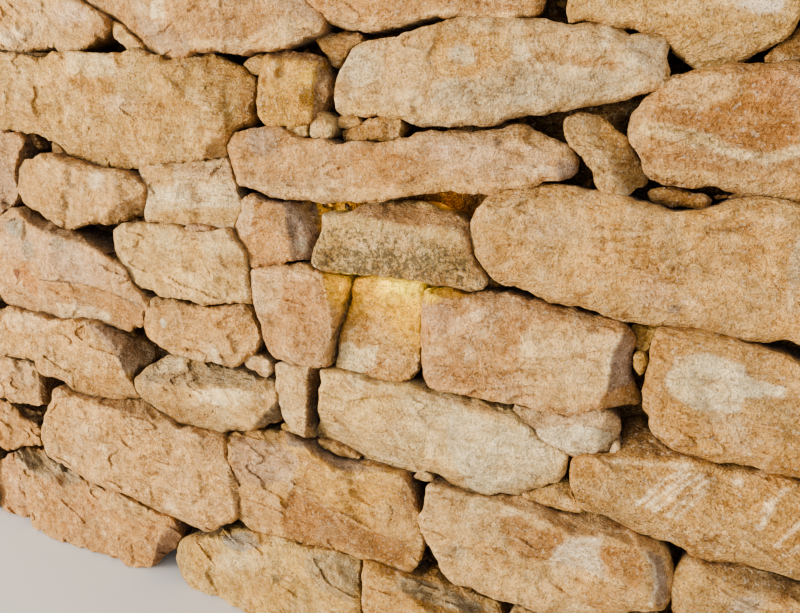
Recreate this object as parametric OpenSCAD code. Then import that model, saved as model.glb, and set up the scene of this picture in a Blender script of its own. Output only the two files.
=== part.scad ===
// Dry stone wall, a length of free-standing double wall. Millimetres.
// +X along the wall, -Y the front face, +Z up. z = 0 is the ground.

/* [Wall] */
// half of the length
half_length = 1200;
// half of the thickness at the ground
half_base = 260;
// inward lean of each face, per mm of height
batter = 0.06;
// top of the coursed stones, under the capstones
course_top = 1150;

/* [Stones] */
// share of the outline kept, which opens the dry joints
joint_scale = 0.955;
// front arris: how far the face ring is drawn in
face_scale = 0.86;
// depth of the arris behind the face
arris = 22;
// tail of each stone, against its outline
tail_scale = 0.86;
// share of the half thickness that a face stone reaches in
tail_reach = 0.60;

/* [Capstones] */
cap_bottom = 1156;
cap_height = 132;

/* [Lamp] */
lamp_x = 228;
lamp_width = 96;

/* [Hidden] */

// ---- the stones: outline in x,z on the face, then how proud they stand ----
course_1 = [
 [[[-924,0],[-815,0],[-800,60],[-810,150],[-880,165],[-926,120]],4],
 [[[-795,0],[-700,0],[-702,80],[-730,140],[-745,150],[-790,115]],0],
 [[[-688,0],[-305,0],[-255,60],[-250,115],[-300,132],[-500,148],[-640,185],[-690,172],[-722,148]],10],
 [[[-228,0],[180,0],[186,80],[186,160],[150,172],[-45,160],[-120,122],[-205,92],[-228,60]],16],
 [[[198,0],[420,0],[428,90],[400,180],[290,176],[205,172],[196,90]],14],
 [[[438,0],[640,0],[650,100],[630,172],[560,182],[440,178]],8],
 [[[660,0],[870,0],[880,120],[850,190],[670,196]],10],
 [[[890,0],[945,0],[950,120],[940,170],[900,160]],4]];
course_2 = [
 [[[-1010,172],[-830,172],[-782,170],[-776,220],[-790,298],[-1008,298]],6],
 [[[-765,162],[-740,160],[-625,200],[-622,240],[-650,262],[-705,280],[-760,284]],6],
 [[[-610,180],[-490,160],[-250,138],[-150,138],[-80,182],[-84,240],[-98,318],[-200,330],[-420,338],[-545,334],[-590,285],[-612,225]],14],
 [[[-66,182],[-20,172],[150,188],[255,186],[285,200],[286,260],[278,320],[260,348],[100,350],[-60,345],[-84,310],[-76,250]],18],
 [[[300,262],[345,196],[440,192],[600,192],[648,240],[650,300],[625,342],[560,350],[320,340],[302,320]],20],
 [[[664,200],[868,198],[880,270],[858,330],[760,340],[680,338],[662,290]],14],
 [[[890,200],[1006,198],[1010,280],[990,338],[896,336]],6]];
course_3 = [
 [[[-918,304],[-770,300],[-760,380],[-780,400],[-915,396]],4],
 [[[-752,296],[-690,292],[-595,304],[-586,330],[-592,362],[-640,380],[-740,388]],8],
 [[[-740,400],[-605,382],[-560,374],[-480,352],[-400,352],[-330,370],[-322,398],[-270,452],[-262,476],[-330,494],[-560,492],[-720,488]],12],
 [[[-312,398],[-290,378],[-215,340],[-130,338],[-60,360],[20,390],[12,450],[-20,460],[-180,466],[-238,452]],16],
 [[[30,430],[44,394],[62,386],[84,388],[82,410],[98,470],[98,492],[36,492],[28,460]],14],
 [[[118,384],[200,366],[300,362],[385,356],[440,376],[496,408],[500,430],[448,450],[410,482],[340,494],[122,492],[116,440]],12],
 [[[522,400],[538,376],[600,362],[690,350],[800,352],[806,430],[770,458],[690,466],[530,448],[518,430]],16],
 [[[815,345],[925,340],[930,400],[920,460],[820,462]],6]];
course_4 = [
 [[[-1010,404],[-760,402],[-752,440],[-765,500],[-1008,502]],6],
 [[[-920,510],[-725,508],[-700,540],[-690,620],[-720,690],[-915,686]],8],
 [[[-690,516],[-560,512],[-330,512],[-285,530],[-286,560],[-330,628],[-420,652],[-560,662],[-650,690],[-684,640]],16],
 [[[-268,505],[-250,488],[-60,482],[-26,500],[-18,530],[-30,572],[-60,582],[-240,572],[-266,552]],10],
 [[[600,580],[606,520],[640,488],[700,484],[860,484],[866,560],[850,622],[690,628],[612,624]],18],
 [[[876,486],[1006,484],[1010,560],[1000,626],[872,624]],4]];
course_5 = [
 [[[-1010,696],[-740,698],[-704,716],[-694,790],[-705,860],[-1008,862]],6],
 [[[-676,716],[-640,722],[-614,760],[-606,800],[-600,850],[-630,864],[-680,860],[-688,780]],8],
 [[[-592,742],[-470,696],[-350,706],[-268,730],[-264,770],[-290,790],[-450,812],[-520,812],[-588,790]],14],
 [[[-248,724],[-150,720],[-70,720],[-56,745],[-62,800],[-72,822],[-150,818],[-250,802]],14],
 [[[-330,650],[-312,612],[-230,592],[-120,588],[-42,596],[-40,650],[-64,700],[-200,704],[-300,700]],16],
 [[[-34,668],[-14,662],[84,682],[104,715],[104,755],[20,757],[-22,758],[-44,712]],10],
 [[[362,740],[388,680],[480,662],[600,648],[720,642],[860,646],[872,720],[850,788],[700,790],[560,784],[440,794],[368,772]],20],
 [[[884,634],[936,632],[942,720],[930,790],[880,788]],4]];
course_6 = [
 [[[-925,870],[-760,868],[-740,940],[-760,1008],[-920,1006]],6],
 [[[-730,880],[-560,872],[-300,812],[-200,820],[-75,840],[-20,886],[-14,935],[-100,978],[-250,992],[-600,1002],[-724,1000]],16],
 [[[-52,862],[-56,825],[-30,790],[60,770],[200,776],[455,808],[478,820],[474,842],[410,868],[310,866],[60,866],[0,870]],14],
 [[[572,822],[700,806],[860,800],[872,860],[860,928],[740,934],[590,924],[564,870]],16],
 [[[884,800],[1006,800],[1010,870],[1000,932],[880,930]],4]];
course_7 = [
 [[[4,888],[100,890],[122,902],[120,955],[104,968],[20,976],[2,930]],10],
 [[[140,922],[150,898],[300,884],[400,892],[560,920],[568,962],[480,984],[330,1000],[200,984],[160,970]],16],
 [[[604,950],[614,940],[640,940],[700,950],[752,948],[757,962],[620,962]],4],
 [[[770,942],[930,936],[940,990],[930,1040],[775,1040]],6]];
course_8 = [
 [[[-1010,1016],[-690,1016],[-676,1070],[-690,1145],[-1008,1146]],6],
 [[[-660,1026],[-450,1022],[-330,1018],[-312,1040],[-350,1080],[-380,1144],[-650,1146]],14],
 [[[-298,1052],[-200,1000],[20,994],[96,1008],[108,1024],[70,1070],[60,1144],[-340,1146],[-345,1100]],14],
 [[[96,1046],[150,1014],[300,1016],[410,1010],[424,1024],[432,1100],[420,1146],[90,1146],[76,1100]],12],
 [[[464,1002],[560,976],[700,972],[720,1010],[715,1146],[455,1146],[452,1060]],14],
 [[[735,1050],[1006,1050],[1010,1146],[740,1146]],6]];
pins = [
 [[[-290,1036],[-262,1008],[-232,1004],[-250,1018],[-280,1042]],2],
 [[[54,872],[92,872],[96,882],[60,884]],6],
 [[[485,856],[524,806],[540,798],[552,812],[540,850],[504,882],[484,884]],8],
 [[[458,366],[500,364],[530,368],[516,388],[502,394],[470,376]],4],
 [[[450,486],[470,458],[540,456],[560,480],[556,508],[500,492]],14],
 [[[578,572],[590,572],[592,598],[580,600]],2],
 [[[576,606],[600,604],[600,634],[578,630]],-6],
 [[[284,344],[288,330],[298,332],[300,352],[290,356]],-4],
 [[[-8,470],[4,470],[10,484],[4,496],[-10,496]],8]];

lintel = [[[112,750],[104,706],[98,678],[118,666],[340,664],[366,668],[356,700],[344,748],[280,762],[200,762]],24,22];
left_jamb = [[[-18,648],[-14,592],[10,520],[40,508],[120,512],[132,560],[146,620],[150,650],[90,656],[20,654]],14];
right_jamb = [[[296,640],[292,580],[298,516],[360,508],[500,506],[566,530],[576,545],[566,620],[540,638],[400,650],[310,648]],14];
niche = [[[160,640],[148,590],[140,520],[160,506],[250,506],[276,524],[280,600],[280,645],[230,648],[168,648]],-30];

// ---- geometry ----
function crs(o,a,b) = (a[0]-o[0])*(b[1]-o[1])-(a[1]-o[1])*(b[0]-o[0]);
function low(p,i=1,b=0) = i>=len(p) ? b : low(p,i+1,(p[i][0]<p[b][0]||(p[i][0]==p[b][0]&&p[i][1]<p[b][1]))?i:b);
function nxt(p,c,i=0,n=-1) = i>=len(p) ? n : nxt(p,c,i+1, i==c?n : n<0?i : (crs(p[c],p[n],p[i])<0?i:n));
function wrap(p,s,acc) = let(n=nxt(p,acc[len(acc)-1])) (n==s||len(acc)>len(p)) ? [for(i=acc) p[i]] : wrap(p,s,concat(acc,[n]));
function hull2(p) = let(s=low(p)) wrap(p,s,[s]);
function mid(p,i=0,s=[0,0]) = i>=len(p) ? s/len(p) : mid(p,i+1,s+p[i]);
function ring(p,c,s,d) = [for(q=p) let(x=c[0]+s*(q[0]-c[0]), z=c[1]+s*(q[1]-c[1])) [x, -half_base+batter*z+d, z]];
// a stone that stands on the ground is scaled about the ground, so that its bed stays flat on it
function lowest(p,i=0,m=1e9) = i>=len(p) ? m : lowest(p,i+1,min(m,p[i][1]));
function centre(p) = let(c=mid(p)) lowest(p)<1 ? [c[0],0] : c;
function reach(st) = is_undef(st[2]) ? tail_reach*(half_base-batter*mid(hull2(st[0]))[1]) : st[2];
function stone_pts(st) = let(p=hull2(st[0]), c=centre(p), dd=reach(st), a=min(arris,st[1]+dd*0.5))
  concat(ring(p,c,face_scale*joint_scale,-st[1]),
         ring(p,c,joint_scale,a-st[1]),
         ring(p,c,joint_scale,max(dd*0.5,a-st[1]+2)),
         ring(p,c,joint_scale*tail_scale,dd));
function stone_n(st) = len(hull2(st[0]));
function stone_faces(n,o) = concat(
  [[for(i=[n-1:-1:0]) o+i]],
  [for(k=[0:2]) for(i=[0:n-1]) [o+k*n+i, o+k*n+(i+1)%n, o+(k+1)*n+(i+1)%n, o+(k+1)*n+i]],
  [[for(i=[0:n-1]) o+3*n+i]]);
function flat(l) = [for(a=l) for(b=a) b];
function offs(l,i=0,acc=[0]) = i>=len(l) ? acc : offs(l,i+1,concat(acc,[acc[i]+4*stone_n(l[i])]));

module stones(l) {
  o = offs(l);
  polyhedron(points=flat([for(s=l) stone_pts(s)]),
             faces=flat([for(i=[0:len(l)-1]) stone_faces(stone_n(l[i]),o[i])]), convexity=10);
}
module behind() { mirror([0,1,0]) children(); }

// box with battered faces: x0..x1, z0..z1, y from the front face in by a to the back face in by b
module block(x0,x1,z0,z1,a=0,g=0) {
  f0=half_base-batter*z0-a; f1=half_base-batter*z1-a;
  polyhedron(points=[[x0+g,-f0,z0],[x1-g,-f0,z0],[x1-g,f0,z0],[x0+g,f0,z0],
                     [x0+g,-f1,z1],[x1-g,-f1,z1],[x1-g,f1,z1],[x0+g,f1,z1]],
    faces=[[0,1,2,3],[4,7,6,5],[0,4,5,1],[1,5,6,2],[2,6,7,3],[3,7,4,0]]);
}

// end stones run right through the wall; its outline is a rectangle with cut corners
function cut(x0,x1,z0,z1,c) = z0<1
  ? [[x0,0],[x1,0],[x1,z1-c],[x1-c,z1],[x0+c,z1],[x0,z1-c]]
  : [[x0,z0+c],[x0+c,z0],[x1-c,z0],[x1,z0+c],[x1,z1-c],[x1-c,z1],[x0+c,z1],[x0,z1-c]];
function ring2(p,c,s,d) = [for(q=p) let(x=c[0]+s*(q[0]-c[0]), z=c[1]+s*(q[1]-c[1])) [x, half_base-batter*z-d, z]];
function quoin_pts(q) = let(p=cut(q[0],q[1],q[2],q[3],16), c=centre(p))
  concat(ring(p,c,0.86,-q[4]), ring(p,c,1,arris-q[4]), ring2(p,c,1,arris-q[4]), ring2(p,c,0.86,-q[4]));
function quoin_n(q) = q[2]<1 ? 6 : 8;
function qoffs(l,i=0,acc=[0]) = i>=len(l) ? acc : qoffs(l,i+1,concat(acc,[acc[i]+4*quoin_n(l[i])]));
module quoins(l) {
  o = qoffs(l);
  polyhedron(points=flat([for(q=l) quoin_pts(q)]),
             faces=flat([for(i=[0:len(l)-1]) stone_faces(quoin_n(l[i]),o[i])]), convexity=10);
}

// capstones: x0, x1, height, shift across the wall
caps = [[-1195,-905,118,-4],[-898,-640,132,3],[-633,-330,124,-2],[-323,-60,130,4],[-53,245,126,-3],
        [252,530,132,2],[537,800,120,-4],[807,1195,128,3]];
function slab(x0,x1,y) = [[x0,-y+30],[x0+26,-y],[x1-34,-y-6],[x1,-y+24],[x1-4,y-30],[x1-36,y],[x0+20,y+5],[x0+2,y-22]];
function lay(p,c,s,z) = [for(q=p) [c[0]+s*(q[0]-c[0]), c[1]+s*(q[1]-c[1]), z]];
function cap_pts(k) = let(p=[for(q=slab(k[0],k[1],206)) [q[0],q[1]+k[3]]], c=mid(p), z=cap_bottom)
  concat(lay(p,c,0.95,z), lay(p,c,1,z+24), lay(p,c,1,z+k[2]-30), lay(p,c,0.90,z+k[2]));
function cap_faces(n,o) = concat(
  [[for(i=[0:n-1]) o+i]],
  [for(k=[0:2]) for(i=[0:n-1]) [o+k*n+i, o+(k+1)*n+i, o+(k+1)*n+(i+1)%n, o+k*n+(i+1)%n]],
  [[for(i=[n-1:-1:0]) o+3*n+i]]);

// left end and right end, from the ground up: inner edge alternates, which bonds the end
left_levels = [[0,168,-935],[172,298,-1018],[302,398,-928],[402,504,-1018],[508,690,-930],[694,866,-1018],[870,1010,-935],[1014,1150,-1018]];
right_levels = [[0,190,960],[194,340,1018],[344,464,942],[468,628,1018],[632,794,952],[798,936,1018],[940,1046,952],[1050,1150,1018]];

// the back face repeats the front's stones, with plain stones where the front has its niche
back_niche = [[lintel[0],10],[left_jamb[0],10],[right_jamb[0],12],[niche[0],8]];

module front_course_1() stones(course_1);
module front_course_2() stones(course_2);
module front_course_3() stones(course_3);
module front_course_4() stones(course_4);
module front_course_5() stones(course_5);
module front_course_6() stones(course_6);
module front_course_7() stones(course_7);
module front_course_8() stones(course_8);
module front_pinnings() stones([for(p=pins) [p[0],p[1],70]]);
module back_course_1() behind() stones(course_1);
module back_course_2() behind() stones(course_2);
module back_course_3() behind() stones(course_3);
module back_course_4() behind() stones(course_4);
module back_course_5() behind() stones(course_5);
module back_course_6() behind() stones(course_6);
module back_course_7() behind() stones(course_7);
module back_course_8() behind() stones(course_8);
module back_pinnings() behind() stones([for(p=pins) [p[0],p[1],70]]);
module left_end_quoins() quoins([for(l=left_levels) [-half_length,l[2],l[0],l[1],10]]);
module right_end_quoins() quoins([for(l=right_levels) [l[2],half_length,l[0],l[1],10]]);
// packed small stones between the two faces
module hearting() block(-924,924,0,course_top,170,0);
module capstones() polyhedron(points=flat([for(k=caps) cap_pts(k)]),
  faces=flat([for(i=[0:len(caps)-1]) cap_faces(8,i*32)]), convexity=10);
module niche_lintel() stones([lintel]);
module niche_left_jamb() stones([left_jamb]);
module niche_right_jamb() stones([right_jamb]);
module niche_stone() stones([niche]);
module back_filler_stones() behind() stones(back_niche);
// a small lamp sits behind the lintel and shines down on the stone below
module lamp_housing() translate([lamp_x-lamp_width/2,-190,668]) cube([lamp_width,34,22]);
module lamp_lens() translate([lamp_x-lamp_width/2+4,-187,664]) cube([lamp_width-8,28,4]);
module lamp_bracket() translate([lamp_x-16,-156,668]) cube([32,3,60]);

front_course_1();
front_course_2();
front_course_3();
front_course_4();
front_course_5();
front_course_6();
front_course_7();
front_course_8();
front_pinnings();
back_course_1();
back_course_2();
back_course_3();
back_course_4();
back_course_5();
back_course_6();
back_course_7();
back_course_8();
back_pinnings();
left_end_quoins();
right_end_quoins();
hearting();
capstones();
niche_lintel();
niche_left_jamb();
niche_right_jamb();
niche_stone();
back_filler_stones();
lamp_housing();
lamp_lens();
lamp_bracket();
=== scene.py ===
import bpy, math
import numpy as np
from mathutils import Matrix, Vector
from mathutils.geometry import delaunay_2d_cdt


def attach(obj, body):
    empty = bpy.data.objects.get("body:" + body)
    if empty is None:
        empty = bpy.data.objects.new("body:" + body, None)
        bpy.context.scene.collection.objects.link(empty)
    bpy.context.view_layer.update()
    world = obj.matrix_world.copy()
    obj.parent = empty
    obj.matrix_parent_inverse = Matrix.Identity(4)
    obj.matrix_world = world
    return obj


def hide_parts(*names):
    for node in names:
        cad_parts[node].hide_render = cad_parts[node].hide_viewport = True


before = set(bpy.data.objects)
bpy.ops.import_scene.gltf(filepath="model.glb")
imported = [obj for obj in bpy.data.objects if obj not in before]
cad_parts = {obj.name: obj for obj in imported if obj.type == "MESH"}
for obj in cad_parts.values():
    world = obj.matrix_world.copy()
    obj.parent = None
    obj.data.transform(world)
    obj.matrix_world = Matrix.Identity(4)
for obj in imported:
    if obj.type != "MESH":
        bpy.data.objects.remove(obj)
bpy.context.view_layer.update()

# ---------------------------------------------------------------- camera
CAM = np.array([0.620, -1.005, 0.870]) * 1000.0
BASE_Y, BATTER = -260.0, 0.06
cam_data = bpy.data.cameras.new("camera")
cam = bpy.data.objects.new("camera", cam_data)
bpy.context.scene.collection.objects.link(cam)
cam.location = CAM / 1000.0
cam.rotation_euler = (math.radians(73.9), 0.0, math.radians(25.4))
cam_data.sensor_width = 36.0
cam_data.lens = 36.0 * 610.0 / 800.0
cam_data.clip_start, cam_data.clip_end = 0.02, 50.0
bpy.context.scene.camera = cam


# ---------------------------------------------------------------- noise
def _hash(ix, iy, iz, seed):
    n = (ix.astype(np.uint32) * np.uint32(374761393) + iy.astype(np.uint32) * np.uint32(668265263)
         + iz.astype(np.uint32) * np.uint32(2246822519) + np.uint32((seed * 3266489917) & 0xFFFFFFFF))
    n = (n ^ (n >> np.uint32(13))) * np.uint32(1274126177)
    n = (n ^ (n >> np.uint32(16))) * np.uint32(2654435761)
    return n ^ (n >> np.uint32(15))


_g = np.random.RandomState(11).normal(size=(256, 3))
GRAD = _g / np.linalg.norm(_g, axis=1)[:, None]


def perlin(p, seed=0):
    """Gradient noise, about -1 to 1, at points p (n, 3)."""
    f = np.floor(p)
    i = f.astype(np.int64)
    t = p - f
    w = t * t * t * (t * (t * 6 - 15) + 10)
    out = np.zeros(len(p))
    for dx in (0, 1):
        for dy in (0, 1):
            for dz in (0, 1):
                g = GRAD[_hash(i[:, 0] + dx, i[:, 1] + dy, i[:, 2] + dz, seed) & np.uint32(255)]
                d = (g * (t - (dx, dy, dz))).sum(1)
                out += d * np.where(dx, w[:, 0], 1 - w[:, 0]) * np.where(dy, w[:, 1], 1 - w[:, 1]) * np.where(dz, w[:, 2], 1 - w[:, 2])
    return out * 1.5


def fbm(p, size, octaves=4, gain=0.5, seed=0):
    """Layered noise with a first feature size in the units of p."""
    q, a, out, tot = p / size, 1.0, 0.0, 0.0
    for k in range(octaves):
        out = out + a * perlin(q + 17.3 * k, seed + k)
        tot += a
        q, a = q * 2.03, a * gain
    return out / tot


def ridged(p, size, octaves=3, seed=0):
    q, a, out, tot = p / size, 1.0, 0.0, 0.0
    for k in range(octaves):
        out = out + a * (1 - 2 * np.abs(perlin(q + 9.1 * k, seed + k)))
        tot += a
        q, a = q * 2.1, a * 0.5
    return out / tot


def facets(x, z, size, tilt, seed, sharp=9.0):
    """Broken planes: each cell is a tilted plane, joined by short slopes."""
    u, v = x / size, z / size
    iu, iv = np.floor(u).astype(np.int64), np.floor(v).astype(np.int64)
    ds, hs = [], []
    for a in (-1, 0, 1):
        for b in (-1, 0, 1):
            cu, cv = iu + a, iv + b
            zero = np.zeros_like(cu)
            r = [(_hash(cu, cv, zero + k, seed).astype(np.float64) / 4294967295.0) for k in range(5)]
            px, pz = cu + r[0], cv + r[1]
            ds.append((u - px) ** 2 + (v - pz) ** 2)
            hs.append(((r[2] - 0.5) * (u - px) + (r[3] - 0.5) * (v - pz)) * 2 * tilt * size + (r[4] - 0.5) * tilt * size * 0.55)
    ds, hs = np.array(ds), np.array(hs)
    w = np.exp(-sharp * (ds - ds.min(0)) * 2.2)
    return (w * hs).sum(0) / w.sum(0)


# ---------------------------------------------------------------- helpers
CR = np.array([[1, 0, 0], [0, math.cos(math.radians(73.9)), -math.sin(math.radians(73.9))], [0, math.sin(math.radians(73.9)), math.cos(math.radians(73.9))]])
CZ = np.array([[math.cos(math.radians(25.4)), -math.sin(math.radians(25.4)), 0], [math.sin(math.radians(25.4)), math.cos(math.radians(25.4)), 0], [0, 0, 1]])


def at_px(u, v):
    """Where a point of the 800 x 613 frame lies on the wall's face, as x, z in mm."""
    d = CZ @ CR @ np.array([(u - 400) / 610.0, (306.5 - v) / 610.0, -1.0])
    t = -(CAM[1] - BASE_Y - BATTER * CAM[2]) / (d[1] - BATTER * d[2])
    return float(CAM[0] + t * d[0]), float(CAM[2] + t * d[2])


def pts(s):
    """Points in mm from a text; one that starts with @ is in pixels of the frame."""
    if not isinstance(s, str):
        return np.array(s, float)
    if s.startswith("@"):
        return np.array([at_px(*[float(a) for a in w.split(",")]) for w in s[1:].split()])
    return np.array([[float(a) for a in w.split(",")] for w in s.split()])


def creased(x, z, size, seed):
    """Flat planes that meet in creases, about -1 to 1: heights joined straight across a triangle lattice."""
    a = (seed * 0.7) % 3.14
    xr, zr = (x * math.cos(a) + z * math.sin(a)) / size, (-x * math.sin(a) + z * math.cos(a)) / size
    u, v = xr - zr * 0.57735, zr * 1.1547
    iu, iv = np.floor(u).astype(np.int64), np.floor(v).astype(np.int64)
    fu, fv = u - iu, v - iv
    zero = np.zeros_like(iu)
    g = lambda a, b: _hash(iu + a, iv + b, zero, seed).astype(np.float64) / 2147483648.0 - 1
    low = fu + fv < 1
    return np.where(low, (1 - fu - fv) * g(0, 0) + fu * g(1, 0) + fv * g(0, 1),
                    (fu + fv - 1) * g(1, 1) + (1 - fu) * g(0, 1) + (1 - fv) * g(1, 0))


def side_dist(x, z, line):
    """Distance from a polyline with its ends run on, positive to the left of its direction."""
    line = np.array(line, float)
    a, b = line[0] - line[1], line[-1] - line[-2]
    line[0] = line[0] + a / np.hypot(*a) * 900
    line[-1] = line[-1] + b / np.hypot(*b) * 900
    best, out = np.full(len(x), 1e9), np.zeros(len(x))
    for (ax, az), (bx, bz) in zip(line[:-1], line[1:]):
        L = math.hypot(bx - ax, bz - az)
        t = np.clip(((x - ax) * (bx - ax) + (z - az) * (bz - az)) / (L * L), 0, 1)
        d = np.hypot(x - ax - t * (bx - ax), z - az - t * (bz - az))
        perp = (-(bz - az) * (x - ax) + (bx - ax) * (z - az)) / L
        key = d - 1e-4 * np.abs(perp)
        out = np.where(key < best, np.sign(perp) * d, out)
        best = np.minimum(best, key)
    return out


def lin(c):
    c = np.array([float(a) for a in c.split(",")] if isinstance(c, str) else c, float) / 255.0
    return np.where(c <= 0.04045, c / 12.92, ((c + 0.055) / 1.055) ** 2.4)


def smooth(a, b, x):
    t = np.clip((x - a) / (b - a), 0, 1)
    return t * t * (3 - 2 * t)


def seg_dist(x, z, line, closed=False):
    """Distance to a polyline, and how far along its nearest point is."""
    a = line
    b = np.roll(line, -1, 0) if closed else line[1:]
    a = a if closed else line[:-1]
    best = np.full(len(x), 1e9)
    along = np.zeros(len(x))
    run = 0.0
    for (ax, az), (bx, bz) in zip(a, b):
        dx, dz = bx - ax, bz - az
        L2 = dx * dx + dz * dz + 1e-9
        t = np.clip(((x - ax) * dx + (z - az) * dz) / L2, 0, 1)
        d = np.hypot(x - ax - t * dx, z - az - t * dz)
        along = np.where(d < best, run + t * math.sqrt(L2), along)
        best = np.minimum(best, d)
        run += math.sqrt(L2)
    return best, along, run


def inside(x, z, poly):
    c = np.zeros(len(x), bool)
    n = len(poly)
    for i in range(n):
        x1, z1 = poly[i]
        x2, z2 = poly[(i + 1) % n]
        if z1 == z2:
            continue
        hit = ((z1 > z) != (z2 > z)) & (x < (x2 - x1) * (z - z1) / (z2 - z1) + x1)
        c ^= hit
    return c


def area(poly):
    x, z = poly[:, 0], poly[:, 1]
    return 0.5 * float(np.sum(x * np.roll(z, -1) - np.roll(x, -1) * z))


def resample(poly, step):
    q = np.vstack([poly, poly[:1]])
    seg = np.hypot(*(q[1:] - q[:-1]).T)
    s = np.concatenate([[0], np.cumsum(seg)])
    n = max(8, int(round(s[-1] / step)))
    t = np.arange(n) / n * s[-1]
    return np.stack([np.interp(t, s, q[:, 0]), np.interp(t, s, q[:, 1])], 1)


def chaikin(poly, times=2, k=0.22):
    for _ in range(times):
        nx = np.roll(poly, -1, 0)
        poly = np.stack([poly + (nx - poly) * k, nx - (nx - poly) * k], 1).reshape(-1, 2)
    return poly


def loop_normals(p):
    t = np.roll(p, -1, 0) - np.roll(p, 1, 0)
    t /= np.linalg.norm(t, axis=1)[:, None] + 1e-9
    return np.stack([t[:, 1], -t[:, 0]], 1)  # outward of a counter-clockwise loop


def ray_out(x, z, side, limit=True):
    """Direction out of the face, towards the photograph's viewpoint on the front."""
    if side > 0:
        return np.stack([np.zeros_like(x), np.ones_like(x), np.zeros_like(x)], 1)
    bx, bz = np.clip(x, -700, 860), np.clip(z, 0, 1130)
    v = CAM[None] - np.stack([bx, BASE_Y + BATTER * bz, bz], 1)
    return v / (-v[:, 1:2] + 0.06 * v[:, 2:3])


def face_point(x, z, h, side):
    """A point h mm out of the battered face. On the front it slides along the line of sight."""
    if side < 0:
        b = np.stack([x, BASE_Y + BATTER * z, z], 1)
        return b + ray_out(x, z, side) * h[:, None]
    b = np.stack([x, -(BASE_Y + BATTER * z), z], 1)
    return b + ray_out(x, z, side) * h[:, None]


SHARP = 30.0


def warm(c):
    """Pull the hues together, less pink and less blue, and the pale and the dark apart."""
    c = np.maximum(c, 1e-4)
    lum = c @ np.array([.3, .6, .1])
    c = c * (np.clip(lum, .02, 1) / .40)[:, None] ** .30
    deep = smooth(.03, .24, lum)
    ratio = c[:, 0] / c[:, 1]
    want = np.where(ratio > 1.5, 1.5 + (ratio - 1.5) * .56, ratio)
    g = c[:, 0] / want
    return np.stack([c[:, 0], g * (1 - .09 * deep), c[:, 2] * g / c[:, 1] * (.98 - .27 * deep)], 1)


class Bag:
    """Collects stones into one mesh."""

    def __init__(self):
        self.v, self.f, self.c, self.g, self.r, self.k, self.n = [], [], [], [], [], [], 0

    def add(self, v, f, c, g, seed=0, ang=0.0, lichen=None):
        self.k.append(np.zeros(len(v)) if lichen is None else lichen)
        self.v.append(v); self.f.append(f + self.n); self.c.append(c); self.g.append(g)
        self.n += len(v)
        # each stone carries its own bedding: a turned and shifted copy of its position
        ca, sa = math.cos(math.radians(ang)), math.sin(math.radians(ang))
        off = np.array([seed * .137 % 7, seed * .071 % 5, seed * .193 % 6])
        self.r.append(np.stack([v[:, 0] * ca + v[:, 2] * sa, v[:, 1], -v[:, 0] * sa + v[:, 2] * ca], 1) / 1000.0 + off)

    def build(self, name, mat):
        v, f = np.vstack(self.v) / 1000.0, np.vstack(self.f)
        c, g = warm(np.vstack(self.c)), np.concatenate(self.g)
        me = bpy.data.meshes.new(name)
        me.vertices.add(len(v)); me.vertices.foreach_set("co", v.astype(np.float32).ravel())
        me.loops.add(len(f) * 3); me.loops.foreach_set("vertex_index", f.astype(np.int32).ravel())
        me.polygons.add(len(f)); me.polygons.foreach_set("loop_start", np.arange(0, len(f) * 3, 3, dtype=np.int32))
        me.polygons.foreach_set("use_smooth", np.ones(len(f), bool))
        me.update(calc_edges=True)
        ca = me.color_attributes.new("tone", "FLOAT_COLOR", "POINT")
        ca.data.foreach_set("color", np.hstack([c, np.ones((len(c), 1))]).astype(np.float32).ravel())
        ga = me.attributes.new("grain", "FLOAT", "POINT")
        ga.data.foreach_set("value", g.astype(np.float32))
        ra = me.attributes.new("rock", "FLOAT_VECTOR", "POINT")
        ra.data.foreach_set("vector", np.vstack(self.r).astype(np.float32).ravel())
        ka = me.attributes.new("lichen", "FLOAT", "POINT")
        ka.data.foreach_set("value", np.concatenate(self.k).astype(np.float32))
        me.set_sharp_from_angle(angle=math.radians(SHARP))
        me.validate()
        me.materials.append(mat)
        o = bpy.data.objects.new(name, me)
        bpy.context.scene.collection.objects.link(o)
        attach(o, "root")
        return o


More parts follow.
